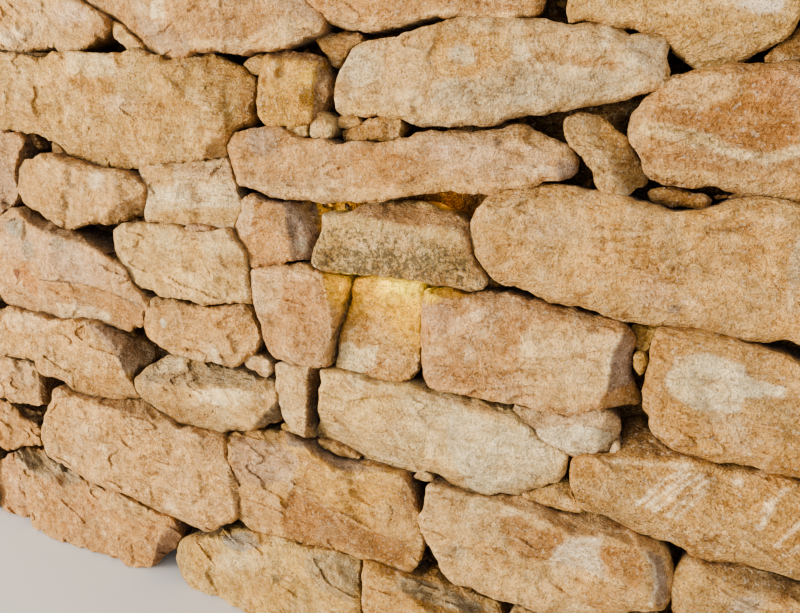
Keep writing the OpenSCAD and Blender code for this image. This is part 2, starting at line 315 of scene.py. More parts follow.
# ---------------------------------------------------------------- a stone seen in a face of the wall
def make_stone(bag, st, side, step, seed):
    rs = np.random.RandomState(seed)
    poly = pts(st["o"])
    if area(poly) < 0:
        poly = poly[::-1]
    poly = resample(chaikin(poly, 1, 0.13), step)
    nrm = loop_normals(poly)
    y0 = np.full(len(poly), float(seed % 97))
    q3 = np.stack([poly[:, 0], y0 * 31, poly[:, 1]], 1)
    rag = st.get("rag", 1.0)
    w = rag * (2.0 * fbm(q3, 30, 3, 0.6, 5) + 3.0 * creased(poly[:, 0], poly[:, 1], 24, seed + 2)
               + 2.1 * creased(poly[:, 0], poly[:, 1], 12, seed + 1) + 1.3 * fbm(q3, 9, 2, 0.6, 8)) + st.get("grow", 1.5)
    poly = poly + nrm * w[:, None]
    if st.get("ground"):
        poly[:, 1] = np.maximum(poly[:, 1], 0.5)
    n = len(poly)
    lo, hi = poly.min(0), poly.max(0)
    # inside points on a jittered triangular grid
    gx, gz = np.meshgrid(np.arange(lo[0], hi[0], step), np.arange(lo[1], hi[1], step * 0.87))
    gx = gx + (np.arange(gx.shape[0])[:, None] % 2) * step * 0.5
    gx, gz = gx.ravel(), gz.ravel()
    gx = gx + rs.uniform(-0.16, 0.16, gx.shape) * step
    gz = gz + rs.uniform(-0.16, 0.16, gz.shape) * step
    ok = inside(gx, gz, poly)
    gx, gz = gx[ok], gz[ok]
    d, _, _ = seg_dist(gx, gz, poly, True)
    ok = d > step * 0.62
    gx, gz = gx[ok], gz[ok]
    x = np.concatenate([poly[:, 0], gx])
    z = np.concatenate([poly[:, 1], gz])
    d = np.concatenate([np.zeros(n), d[ok]])
    co = [Vector((float(a), float(b))) for a, b in zip(x, z)]
    r = delaunay_2d_cdt(co, [], [list(range(n))], 1, 1e-4)
    tri = np.array([f for f in r[2] if len(f) == 3], np.int64)
    if len(r[0]) != len(co):  # a point was merged or added: follow the new list
        nv = np.array([(a.x, a.y) for a in r[0]])
        src = np.array([o[0] if len(o) else -1 for o in r[3]])
        back = {int(s): i for i, s in enumerate(src) if s >= 0}
        if (src < 0).any() or any(i not in back for i in range(n)):
            return make_stone(bag, dict(st, rag=rag * 0.4), side, step * 1.07, seed + 1) if rag > 0.05 else None
        x, z, d = nv[:, 0], nv[:, 1], d[src]
        ring0 = np.array([back[i] for i in range(n)])
    else:
        ring0 = np.arange(n)
    a, b, c = tri[:, 0], tri[:, 1], tri[:, 2]
    s2 = (x[b] - x[a]) * (z[c] - z[a]) - (x[c] - x[a]) * (z[b] - z[a])
    tri = tri[np.abs(s2) > 1e-6]
    s2 = s2[np.abs(s2) > 1e-6]
    tri[s2 < 0] = tri[s2 < 0][:, [0, 2, 1]]

    cx, cz = float(np.mean(poly[:, 0])), float(np.mean(poly[:, 1]))
    size = math.sqrt(abs(area(poly)))
    p3 = np.stack([x, np.full(len(x), 37.0 * (seed % 53)), z], 1)
    # ---- the face: a plateau, cut by the slopes read off each stone
    h = np.full(len(x), float(st.get("p", 12)))
    tx, tz = st.get("t", (0, 0))
    h += tx * (x - cx) + tz * (z - cz)
    warp = 2.2 * fbm(p3, 38, 3, 0.5, seed + 40)
    cut = np.zeros(len(x))
    shade = np.zeros(len(x))
    jag = 2.6 * creased(x, z, 27, seed + 44) + 1.2 * creased(x, z, 12, seed + 45)
    for fc in st.get("f", ()):
        k = min(2.4, fc[2] if len(fc) > 2 else 2.4)
        line = pts(fc[0])
        run = line[-1] - line[0]
        up = run[0] / (np.hypot(*run) + 1e-9)
        slope = min(fc[1] * (1.55 if abs(up) > .6 else 1.2), 1.15)
        dd = side_dist(x, z, line) + warp * .9 + jag
        dd = 0.5 * (dd + np.sqrt(dd * dd + k * k)) - 0.25 * k
        mine = slope * dd > cut
        shade = np.where(mine, .15 if up > .5 or run[1] < -.6 * np.hypot(*run) else .08, shade)
        cut = np.maximum(cut, slope * dd)
    h -= cut
    for bx, bz, rx, rz, ang, amp in st.get("b", ()):
        ca, sa = math.cos(math.radians(ang)), math.sin(math.radians(ang))
        u, v = ((x - bx) * ca + (z - bz) * sa) / rx, (-(x - bx) * sa + (z - bz) * ca) / rz
        rr = np.clip(u * u + v * v + warp * 0.05, 0, 1)
        h += amp * (1 - rr) ** 2
    for lg in st.get("l", ()):
        line, stp = pts(lg[0]), lg[1]
        wd = lg[2] if len(lg) > 2 else 4.0
        best, along, run = seg_dist(x, z, line)
        sd = side_dist(x, z, line)
        sg, bd = np.sign(sd), best
        reach = lg[3] if len(lg) > 3 else 26.0
        ends = np.clip(np.minimum(along, run - along) / 22.0, 0, 1)
        h -= stp * ends * smooth(-wd, wd, sg * bd + warp * 0.7) * smooth(reach * 1.6, reach * 0.3, bd)
    for line, wd, dp in st.get("k", ()):
        best, along, run = seg_dist(x, z, pts(line))
        ends = smooth(0, 14, np.minimum(along, run - along) + 3)
        h -= dp * ends * np.exp(-((best + 0.7 * warp) / wd) ** 2)
    # ---- broken rock relief: creased planes at four sizes, then grain
    am = st.get("am", 1.0)
    big_s = st.get("fs", max(46.0, min(105.0, size * 0.42)))
    wx = x + 7 * fbm(p3, 48, 2, 0.5, seed + 11)
    wz = z + 7 * fbm(p3 + 300, 48, 2, 0.5, seed + 12)
    h += am * 9.0 * creased(wx, wz, big_s, seed + 3)
    h += am * 4.6 * creased(wx, wz, big_s * 0.5, seed + 4)
    med = 1.5 * creased(wx, wz, 21, seed + 5)
    sa, sl, sw = st.get("s", (float(rs.uniform(-7, 7)), 110.0, 13.0))
    ca, sb = math.cos(math.radians(sa)), math.sin(math.radians(sa))
    bed = sa
    us, vs = wx * ca + wz * sb, -wx * sb + wz * ca
    strat = creased(us * 15.0 / sl, vs * 15.0 / max(sw, 12.0), 15.0, seed + 21)
    rough = st.get("ro", 1.0)
    # thin layers broken back along ragged lines: a quick rise, then a long fall
    lay = fbm(np.stack([us / 3.2, p3[:, 1], vs], 1), 46, 2, 0.36, seed + 22) * st.get("tn", 2.5)
    fr = lay - np.floor(lay)
    where = smooth(-.12, .16, fbm(p3, 75, 2, .5, seed + 24))
    ledge = (smooth(0, .13, fr) - fr) * where
    h += am * st.get("te", 1.0) * 5.6 * ledge
    small = .7 * creased(wx, wz, 10.5, seed + 6) + 1.1 * fbm(p3, 15, 3, 0.65, seed + 31)
    pit = smooth(0.22, 0.55, fbm(p3, 9.0, 2, 0.5, seed + 35))
    h += am * (med + st.get("sa", 0.9) * 1.2 * strat) + rough * (small - .8 * pit)
    # ---- the arris: crisp, chipped here and there
    er = st.get("r", 3.2) * (0.6 + 0.8 * smooth(-0.5, 0.5, fbm(p3, 55, 2, 0.5, seed + 50)))
    er = np.minimum(er, 0.42 * d.max() + 1.0)
    t = np.clip(1 - d / er, 0, 1)
    drop = st.get("d", 3.4)
    h -= drop * (1 - np.sqrt(np.maximum(1 - t * t, 0)))
    chip = np.clip(creased(wx, wz, 33, seed + 61) * 1.5 - .15, 0, 1)
    h -= am * 0.62 * np.clip(13 * chip - d, 0, 12)
    chip = np.clip(creased(wx, wz, 15, seed + 62) * 1.6 - .3, 0, 1)
    h -= am * 0.7 * np.clip(6.5 * chip - d, 0, 6)
    h -= am * .42 * np.clip(st.get("bev", 15.0) * (.35 + .65 * creased(wx, wz, 70, seed + 63)) - d, 0, 14)
    P = face_point(x, z, h, side)
    if st.get("ground"):
        P[:, 2] = z + (P[:, 2] - z) * smooth(0, 80, z)
        P[:, 2] = np.maximum(P[:, 2], 0.5)

    # ---- colour
    base = lin(st["c"])
    col = np.repeat(base[None], len(x), 0)
    q4 = np.stack([wx, p3[:, 1], wz], 1)
    big = fbm(q4, 70, 3, 0.55, seed + 71)
    mid = fbm(q4, 24, 4, 0.62, seed + 73)
    c2, c3 = lin(st.get("c2", "214,176,124")), lin(st.get("c3", "186,140,96"))
    v1, v2 = smooth(0.0, 0.42, big + 0.75 * mid), smooth(0.02, 0.45, -big + 0.8 * mid)
    col += (c2 - col) * (0.70 * v1)[:, None]
    col += (c3 - col) * (0.52 * v2)[:, None]
    v3 = smooth(0.12, 0.42, fbm(q4, 38, 4, 0.6, seed + 75))
    col += (lin(st.get("c4", "206,152,86")) - col) * (0.45 * v3)[:, None]
    v4 = smooth(0.16, 0.42, fbm(q4, 30, 4, 0.65, seed + 76))
    col += (lin(st.get("c5", "240,220,186")) - col) * (0.60 * v4)[:, None]
    bandm = smooth(-0.2, 0.6, strat) * st.get("band", 0.15)
    col += (lin(st.get("cb", "188,140,86")) - col) * bandm[:, None]
    wob = 8.0 * fbm(p3, 27, 4, 0.65, seed + 81) + 3.2 * fbm(p3, 8, 2, 0.6, seed + 83)
    lichen = np.zeros(len(x))
    for pc in st.get("m", ()):
        kind = pc[0]
        if kind in ("e", "e@"):
            _, mx, mz, rx, rz, ang, tone, k = pc[:8]
            if kind == "e@":
                (mx, mz), (ex, ez), (gx2, gz2) = at_px(mx, mz), at_px(mx + rx, mz), at_px(mx, mz + rz)
                rx, rz = math.hypot(ex - mx, ez - mz), math.hypot(gx2 - mx, gz2 - mz)
                ang = ang + math.degrees(math.atan2(ez - mz, ex - mx))
            soft = pc[8] if len(pc) > 8 else 0.35
            ca, sa = math.cos(math.radians(ang)), math.sin(math.radians(ang))
            u, v = ((x - mx) * ca + (z - mz) * sa) / rx, (-(x - mx) * sa + (z - mz) * ca) / rz
            rr = np.hypot(u, v) + wob / max(min(rx, rz), 12.0) * 0.9
            mask = smooth(1 + soft, 1 - soft, rr)
        elif kind == "p":
            _, out, tone, k = pc[:4]
            soft = pc[4] if len(pc) > 4 else 5.0
            pg = pts(out)
            dd, _, _ = seg_dist(x, z, pg, True)
            sd = np.where(inside(x, z, pg), dd, -dd) + wob * 0.62
            mask = smooth(-soft * .6, soft * .6, sd)
        elif kind == "d":
            _, out, tone, k, sz, thr = pc
            pg = pts(out)
            dd, _, _ = seg_dist(x, z, pg, True)
            sd = np.where(inside(x, z, pg), dd, -dd) + wob * 1.5
            mott = fbm(p3, sz * 4, 3, 0.6, seed + 85)
            lichen = np.maximum(lichen, smooth(-12, 12, sd) * k * (.5 + .5 * smooth(-.25, .2, mott)))
            mask = .12 * lichen
        elif kind == "v":
            _, line, wd, tone, k = pc[:5]
            dd, _, _ = seg_dist(x, z, pts(line))
            mask = smooth(wd * 1.15, wd * 0.55, dd + wob * 0.35)
        col += (lin(tone) - col) * (mask * min(.97, k * 1.2))[:, None]
    # painted highlight on the ridges and painted shade in the hollows, from the relief's own heights, with some tone
    # that differs at random
    relief_shade = np.clip((small * 0.8 + med * 0.5 + 0.5 * strat) / 1.5, -1.3, 1.3)
    col *= (1 + 0.12 * relief_shade + 0.13 * mid + 0.07 * fbm(p3, 9, 2, 0.5, seed + 91))[:, None]
    # painted shadow at the foot of each ledge
    ledge_shadow = where * smooth(.16, .02, fr) * smooth(-.1, .3, mid + .4 * big)
    col += (lin("142,98,60") - col) * (.34 * ledge_shadow)[:, None]
    # painted highlight on the crest of each ledge
    over = where * smooth(.14, .24, fr) * smooth(.5, .3, fr)
    col += (lin("236,212,172") - col) * (.16 * over)[:, None]
    # painted shade in the pits that the relief dents
    col *= (1 - 0.15 * pit * min(1.0, rough))[:, None]
    # painted shade: the planes that turn away are painted a little darker, the top and right ones most
    col *= (1 - shade * smooth(0.0, 5.0, cut))[:, None]
    # painted shade along the rim of the face, towards the joint, broken up by noise
    edge = smooth(5, 0, d) * smooth(-0.1, 0.4, mid)
    col += (lin("160,114,72") - col) * (0.30 * edge)[:, None]
    grain = np.full(len(x), float(st.get("g", 0.6)))

    # ---- sides, back into the wall, and a plain back
    V, F, C, G = [P], [tri], [col], [grain]
    cur = ring0
    off = len(P)
    he = h[ring0]
    bx, bz = x[ring0], z[ring0]
    inn = -loop_normals(np.stack([bx, bz], 1))
    depths = st.get("depths", (3.5, 9, 18, 32, 52, 78))
    edge_p = P[ring0]
    sgn = 1.0 if side < 0 else -1.0
    low_z = 0.5 if st.get("ground") else -1e9
    for k, dep in enumerate(depths):
        sh = (0.25, 0.9, 2.0, 3.6, 6.5, 11.0)[min(k, 5)]
        cen = edge_p.mean(0)
        f = 1 - sh / (0.5 * size + 20)
        q = cen + (edge_p - cen) * [f, 1, f]
        q[:, 1] = edge_p[:, 1] + sgn * dep
        nz = fbm(np.stack([q[:, 0], q[:, 1] + 400, q[:, 2]], 1), 16, 3, 0.55, seed + 95)
        q[:, 0] += inn[:, 0] * -nz * 1.3 * min(1, dep / 9)
        q[:, 2] += inn[:, 1] * -nz * 1.3 * min(1, dep / 9)
        q[:, 2] = np.maximum(q[:, 2], low_z)
        V.append(q)
        nxt = np.arange(off, off + n)
        i2 = np.roll(np.arange(n), -1)
        F.append(np.stack([cur, nxt, nxt[i2]], 1)); F.append(np.stack([cur, nxt[i2], cur[i2]], 1))
        # painted shade: the sides turn darker the deeper they go back into the wall
        dark = lin("108,88,74")
        mix = min(1.0, 0.34 + dep / 44.0)
        C.append(col[ring0] * (1 - mix) + dark * mix)
        G.append(grain[ring0])
        cur = nxt
        off += n
    # back: the loop closes on its own middle, painted dark as shade
    V.append(V[-1].mean(0)[None]); C.append(np.array([lin("84,68,56")])); G.append(np.array([0.5]))
    i2 = np.roll(np.arange(n), -1)
    F.append(np.stack([cur, np.full(n, off), cur[i2]], 1))
    F = np.vstack(F)
    # seen from the front, a counter-clockwise face looks out; the back face is the mirror of that
    if side > 0:
        F = F[:, [0, 2, 1]]
    bag.add(np.vstack(V), F, np.vstack(C), np.concatenate(G), seed, bed,
            np.concatenate([lichen, np.zeros(sum(len(v) for v in V) - len(x))]))
    return True


# ---------------------------------------------------------------- a block seen from several sides
def make_block(bag, lo, hi, seed, col, step=9.0, batter=(0, 0, 0, 0), skew=0.0, r=16.0, am=1.0, c2=None, c3=None, flat_bottom=False, rot=0.0, hew=0, deep=20.0, seat=False):
    """A rough rounded block. batter: how far each of -y, +y, -x, +x leans in per mm of height."""
    rs = np.random.RandomState(seed)
    lo, hi = np.array(lo, float), np.array(hi, float)
    half, mid = (hi - lo) / 2, (hi + lo) / 2
    nn = np.maximum(2, np.round((hi - lo) / step).astype(int))
    V, F, off = [], [], 0
    idx = {}
    for ax in range(3):
        u, v = [(1, 2), (2, 0), (0, 1)][ax]
        for sg in (-1, 1):
            gu, gv = np.meshgrid(np.linspace(-1, 1, nn[u] + 1), np.linspace(-1, 1, nn[v] + 1), indexing="ij")
            p = np.zeros(gu.shape + (3,))
            p[..., ax], p[..., u], p[..., v] = sg, gu, gv
            k = np.arange(gu.size).reshape(gu.shape) + off
            q = np.stack([k[:-1, :-1], k[1:, :-1], k[1:, 1:], k[:-1, 1:]], -1).reshape(-1, 4)
            t = np.vstack([q[:, [0, 1, 2]], q[:, [0, 2, 3]]])
            if sg < 0:
                t = t[:, [0, 2, 1]]
            V.append(p.reshape(-1, 3)); F.append(t); off += gu.size
    V, F = np.vstack(V), np.vstack(F)
    key = np.round(V * 1e5).astype(np.int64)
    _, first, inv = np.unique(key, axis=0, return_index=True, return_inverse=True)
    inv = inv.ravel()
    V, F = V[first], inv[F]
    P = V * half
    # rounding
    rr = min(r, 0.45 * half.min())
    c = np.clip(P, -(half - rr), half - rr)
    dlt = P - c
    L = np.linalg.norm(dlt, axis=1)
    nrm = dlt / np.maximum(L, 1e-9)[:, None]
    edge = (np.abs(dlt) > rr * 0.02).sum(1)
    P = c + nrm * rr
    lump = np.sign(V) * (np.abs(V) ** 1.0)
    seedp = P + 1000.0 * (seed % 61)
    # corner skew makes each block its own shape
    corner = rs.uniform(-1, 1, (2, 2, 2, 3)) * skew
    wx, wy, wz = [(V[:, k] * 0.5 + 0.5) for k in range(3)]
    for a in (0, 1):
        for b in (0, 1):
            for e in (0, 1):
                w = (wx if a else 1 - wx) * (wy if b else 1 - wy) * (wz if e else 1 - wz)
                P = P + w[:, None] * corner[a, b, e]
    n1 = fbm(seedp, 90, 3, 0.5, seed)
    n2 = fbm(seedp, 26, 4, 0.55, seed + 4)
    fac, med = np.zeros(len(P)), np.zeros(len(P))
    for ax in range(3):
        u, v = [(1, 2), (0, 2), (0, 1)][ax]
        wt = np.abs(nrm[:, ax]) ** 2
        a1, a2 = P[:, u] + 7 * n1 + 500 + ax * 333, P[:, v] + 7 * n2 + 700
        fac += wt * (6.0 * creased(a1, a2, 85, seed + 7 + ax) + 3.6 * creased(a1, a2, 42, seed + 17 + ax))
        med += wt * (2.3 * creased(a1, a2, 23, seed + 27 + ax))
    strat = perlin(np.stack([seedp[:, 0] / 130, seedp[:, 1] / 130, (seedp[:, 2] + 6 * n1) / 21], 1), seed + 2)
    side_w = 1 - np.abs(nrm[:, 2]) ** 2
    disp = am * (2.0 * n1 + 2.2 * n2 + fac + med + 1.6 * strat * side_w)
    chip = smooth(0.15, 0.5, fbm(seedp, 30, 2, 0.5, seed + 8)) * (edge >= 2)
    disp -= 4.5 * chip
    P = P + nrm * (disp - 3.0 * am)[:, None] if not flat_bottom else P + nrm * np.where(nrm[:, 2] < -0.6, 0, disp - 3.0 * am)[:, None]
    struck = np.zeros(len(P))
    for _ in range(hew):
        n = rs.normal(size=3) * (1.0, 1.0, 1.1 if seat else .7)
        if rs.rand() < .7:
            n[rs.randint(3)] *= .12  # along an arris
        elif rs.rand() < .5:
            n = n * .3
            n[(1, 0, 2)[rs.randint(3)]] = rs.choice((-1.0, 1.0))
        n /= np.linalg.norm(n)
        if (flat_bottom or seat) and n[2] < -.1:
            n[2] = -n[2]
        far = P @ n
        over = far - (far.max() - rs.uniform(.25, 1.0) * deep) + 1.6 * n2 + 1.2 * med
        hit = np.maximum(over, 0)
        P = P - np.outer(hit * .92, n)
        struck = np.maximum(struck, smooth(0, 4, over))
    if rot:
        ca, sa = math.cos(rot), math.sin(rot)
        P[:, 0], P[:, 1] = P[:, 0] * ca - P[:, 1] * sa, P[:, 0] * sa + P[:, 1] * ca
    P = P + mid
    for k, (ax, sg) in enumerate(((1, -1), (1, 1), (0, -1), (0, 1))):
        if batter[k]:
            wgt = smooth(-1.0, 1.0, sg * V[:, ax])
            P[:, ax] -= sg * batter[k] * (P[:, 2] - lo[2]) * wgt
    if flat_bottom:
        P[:, 2] = np.maximum(P[:, 2], lo[2])
    base = lin(col)
    cc = np.repeat(base[None], len(P), 0)
    m4 = fbm(seedp, 38, 4, 0.62, seed + 41)
    cc += (lin(c2 or "224,194,148") - cc) * (0.75 * smooth(0.0, 0.42, n1 + .75 * m4))[:, None]
    cc += (lin(c3 or "184,136,90") - cc) * (0.6 * smooth(0.02, 0.45, -n1 + 0.8 * m4))[:, None]
    cc += (lin("206,152,86") - cc) * (0.4 * smooth(0.1, 0.4, fbm(seedp, 45, 4, .6, seed + 43)))[:, None]
    cc += (lin("232,208,172") - cc) * (0.5 * smooth(0.14, 0.42, fbm(seedp, 34, 4, .65, seed + 44)))[:, None]
    cc += (lin("190,142,88") - cc) * (0.22 * smooth(0, 0.6, strat) * side_w)[:, None]
    # lighter where the surface swells out and darker in its dips: partly painted relief shading, partly tone that
    # differs at random
    cc *= (1 + 0.14 * n2 + 0.05 * med)[:, None]
    cc += (lin("190,144,98") - cc) * (.35 * struck * smooth(-.3, .3, n2))[:, None]
    # painted shade along the bottom of each block
    low = smooth(-0.86, -1.0, V[:, 2])
    cc += (lin("120,84,54") - cc) * (0.35 * low)[:, None]
    bag.add(P, F, cc, np.full(len(P), 0.7), seed, rs.uniform(-6, 6))


# ---------------------------------------------------------------- stone surface
def stone_material(name, bump=1.0, light=1.0):
    m = bpy.data.materials.new(name + "_finish")
    m.use_nodes = True
    nt = m.node_tree
    N, L = nt.nodes, nt.links
    b = N["Principled BSDF"]
    b.inputs["Roughness"].default_value = .93
    b.inputs["Specular IOR Level"].default_value = .22

    def new(kind, **kw):
        n = N.new(kind)
        for k, v in kw.items():
            if k in n.inputs:
                n.inputs[k].default_value = v
            else:
                setattr(n, k, v)
        return n

    rock = new("ShaderNodeAttribute", attribute_name="rock").outputs["Vector"]
    layers = new("ShaderNodeMapping")
    layers.inputs["Scale"].default_value = (1.0, 1.0, 4.2)
    L.new(rock, layers.inputs["Vector"])

    def noise(scale, detail=5.0, rough=.6, warp=0.0, vec=None):
        n = new("ShaderNodeTexNoise", Scale=scale, Detail=detail, Roughness=rough, Distortion=warp)
        L.new(vec or rock, n.inputs["Vector"])
        return n.outputs["Fac"]

    def near(src, mid, wide, soft):
        """1 where the value is within wide of mid, fading to 0 over soft."""
        a = new("ShaderNodeMath", operation="SUBTRACT"); L.new(src, a.inputs[0]); a.inputs[1].default_value = mid
        b2 = new("ShaderNodeMath", operation="ABSOLUTE"); L.new(a.outputs[0], b2.inputs[0])
        m2 = new("ShaderNodeMapRange"); L.new(b2.outputs[0], m2.inputs["Value"])
        for k, v in (("From Min", wide + soft), ("From Max", wide), ("To Min", 0.0), ("To Max", 1.0)):
            m2.inputs[k].default_value = v
        return m2.outputs["Result"]

    def times(a, bb):
        n = new("ShaderNodeMath", operation="MULTIPLY")
        L.new(a, n.inputs[0])
        if isinstance(bb, float):
            n.inputs[1].default_value = bb
        else:
            L.new(bb, n.inputs[1])
        return n.outputs[0]

    def ramp(src, stops):
        r = new("ShaderNodeValToRGB")
        e = r.color_ramp.elements
        while len(e) < len(stops):
            e.new(.5)
        for el, (p, c) in zip(e, stops):
            el.position = p
            el.color = (c, c, c, 1) if isinstance(c, (int, float)) else (*c, 1)
        L.new(src, r.inputs["Fac"])
        return r.outputs["Color"]

    def mix(kind, a, bb, fac=1.0):
        n = new("ShaderNodeMix", data_type="RGBA", blend_type=kind)
        n.clamp_factor = True
        if isinstance(fac, float):
            n.inputs[0].default_value = fac
        else:
            L.new(fac, n.inputs[0])
        for i, s in ((6, a), (7, bb)):
            if isinstance(s, tuple):
                n.inputs[i].default_value = (*s, 1)
            else:
                L.new(s, n.inputs[i])
        return n.outputs[2]

    tone = new("ShaderNodeAttribute", attribute_name="tone").outputs["Color"]
    grain = new("ShaderNodeAttribute", attribute_name="grain").outputs["Fac"]
    big, mid, fine = noise(13, 3, .55), noise(52, 5, .68, .5), noise(380, 2, .7)
    gran = noise(175, 3, .74)
    bands = noise(30, 4, .66, .35, layers.outputs["Vector"])
    crack = times(near(noise(17, 4, .6, .9), .5, .007, .010), ramp(noise(11, 1, .5), [(.50, 0.0), (.56, 1.0)]))
    parting = times(near(noise(15, 3, .55, .5, layers.outputs["Vector"]), .47, .008, .012), ramp(noise(14, 1, .5), [(.50, 0.0), (.57, 1.0)]))
    pits = ramp(noise(250, 1, .55), [(.64, 0.0), (.70, 1.0)])
    c = mix("MULTIPLY", tone, ramp(big, [(.40, (1.06 * light, .98 * light, .86 * light)), (.60, (.98 * light, 1.0 * light, 1.06 * light))]))
    c = mix("MULTIPLY", c, ramp(mid, [(.38, (.80, .75, .67)), (.5, 1.0), (.62, (1.17, 1.19, 1.22))]))
    c = mix("MULTIPLY", c, ramp(bands, [(.36, (.87, .83, .76)), (.5, 1.0), (.64, (1.08, 1.09, 1.11))]))
    c = mix("MULTIPLY", c, ramp(gran, [(.38, (.80, .75, .67)), (.5, 1.0), (.62, (1.13, 1.15, 1.17))]), grain)
    c = mix("MULTIPLY", c, ramp(fine, [(.38, (.74, .68, .60)), (.5, 1.0), (.62, (1.18, 1.20, 1.22))]), grain)
    dark = ramp(noise(120, 3, .72), [(.59, 0.0), (.68, 1.0)])
    c = mix("MULTIPLY", c, (.60, .50, .38), times(dark, .6))
    # painted shade in the pits, which the bump below also dents
    c = mix("MULTIPLY", c, (.50, .40, .30), times(pits, .6))
    c = mix("MULTIPLY", c, (.46, .35, .26), times(crack, .7))
    c = mix("MULTIPLY", c, (.54, .42, .31), times(parting, .65))
    pale = ramp(noise(190, 2, .6), [(.59, 0.0), (.68, 1.0)])
    c = mix("MIX", c, (.82, .69, .50), times(pale, .32))
    grow = new("ShaderNodeAttribute", attribute_name="lichen").outputs["Fac"]
    a1 = new("ShaderNodeMath", operation="MULTIPLY_ADD")
    L.new(grow, a1.inputs[0]); a1.inputs[1].default_value = .21; L.new(noise(150, 4, .80), a1.inputs[2])
    spots = times(ramp(a1.outputs[0], [(.605, 0.0), (.665, 1.0)]), ramp(grow, [(.02, 0.0), (.25, 1.0)]))
    c = mix("MIX", c, (.080, .055, .022), times(spots, .84))
    hs = new("ShaderNodeHueSaturation", Saturation=1.05)
    L.new(c, hs.inputs["Color"])
    L.new(hs.outputs["Color"], b.inputs["Base Color"])
    h1 = new("ShaderNodeMath", operation="MULTIPLY_ADD")
    L.new(mid, h1.inputs[0]); h1.inputs[1].default_value = 3.0
    h2 = new("ShaderNodeMath", operation="MULTIPLY_ADD")
    L.new(gran, h2.inputs[0]); h2.inputs[1].default_value = 1.5
    L.new(fine, h2.inputs[2]); L.new(h2.outputs[0], h1.inputs[2])
    tot = h1.outputs[0]
    for src, k in ((bands, 2.8), (pits, -.6)):
        a = new("ShaderNodeMath", operation="MULTIPLY_ADD")
        L.new(src, a.inputs[0]); a.inputs[1].default_value = k; L.new(tot, a.inputs[2])
        tot = a.outputs[0]
    bp = new("ShaderNodeBump", Strength=1.0, Distance=.0039 * bump)
    L.new(tot, bp.inputs["Height"])
    L.new(bp.outputs["Normal"], b.inputs["Normal"])
    return m
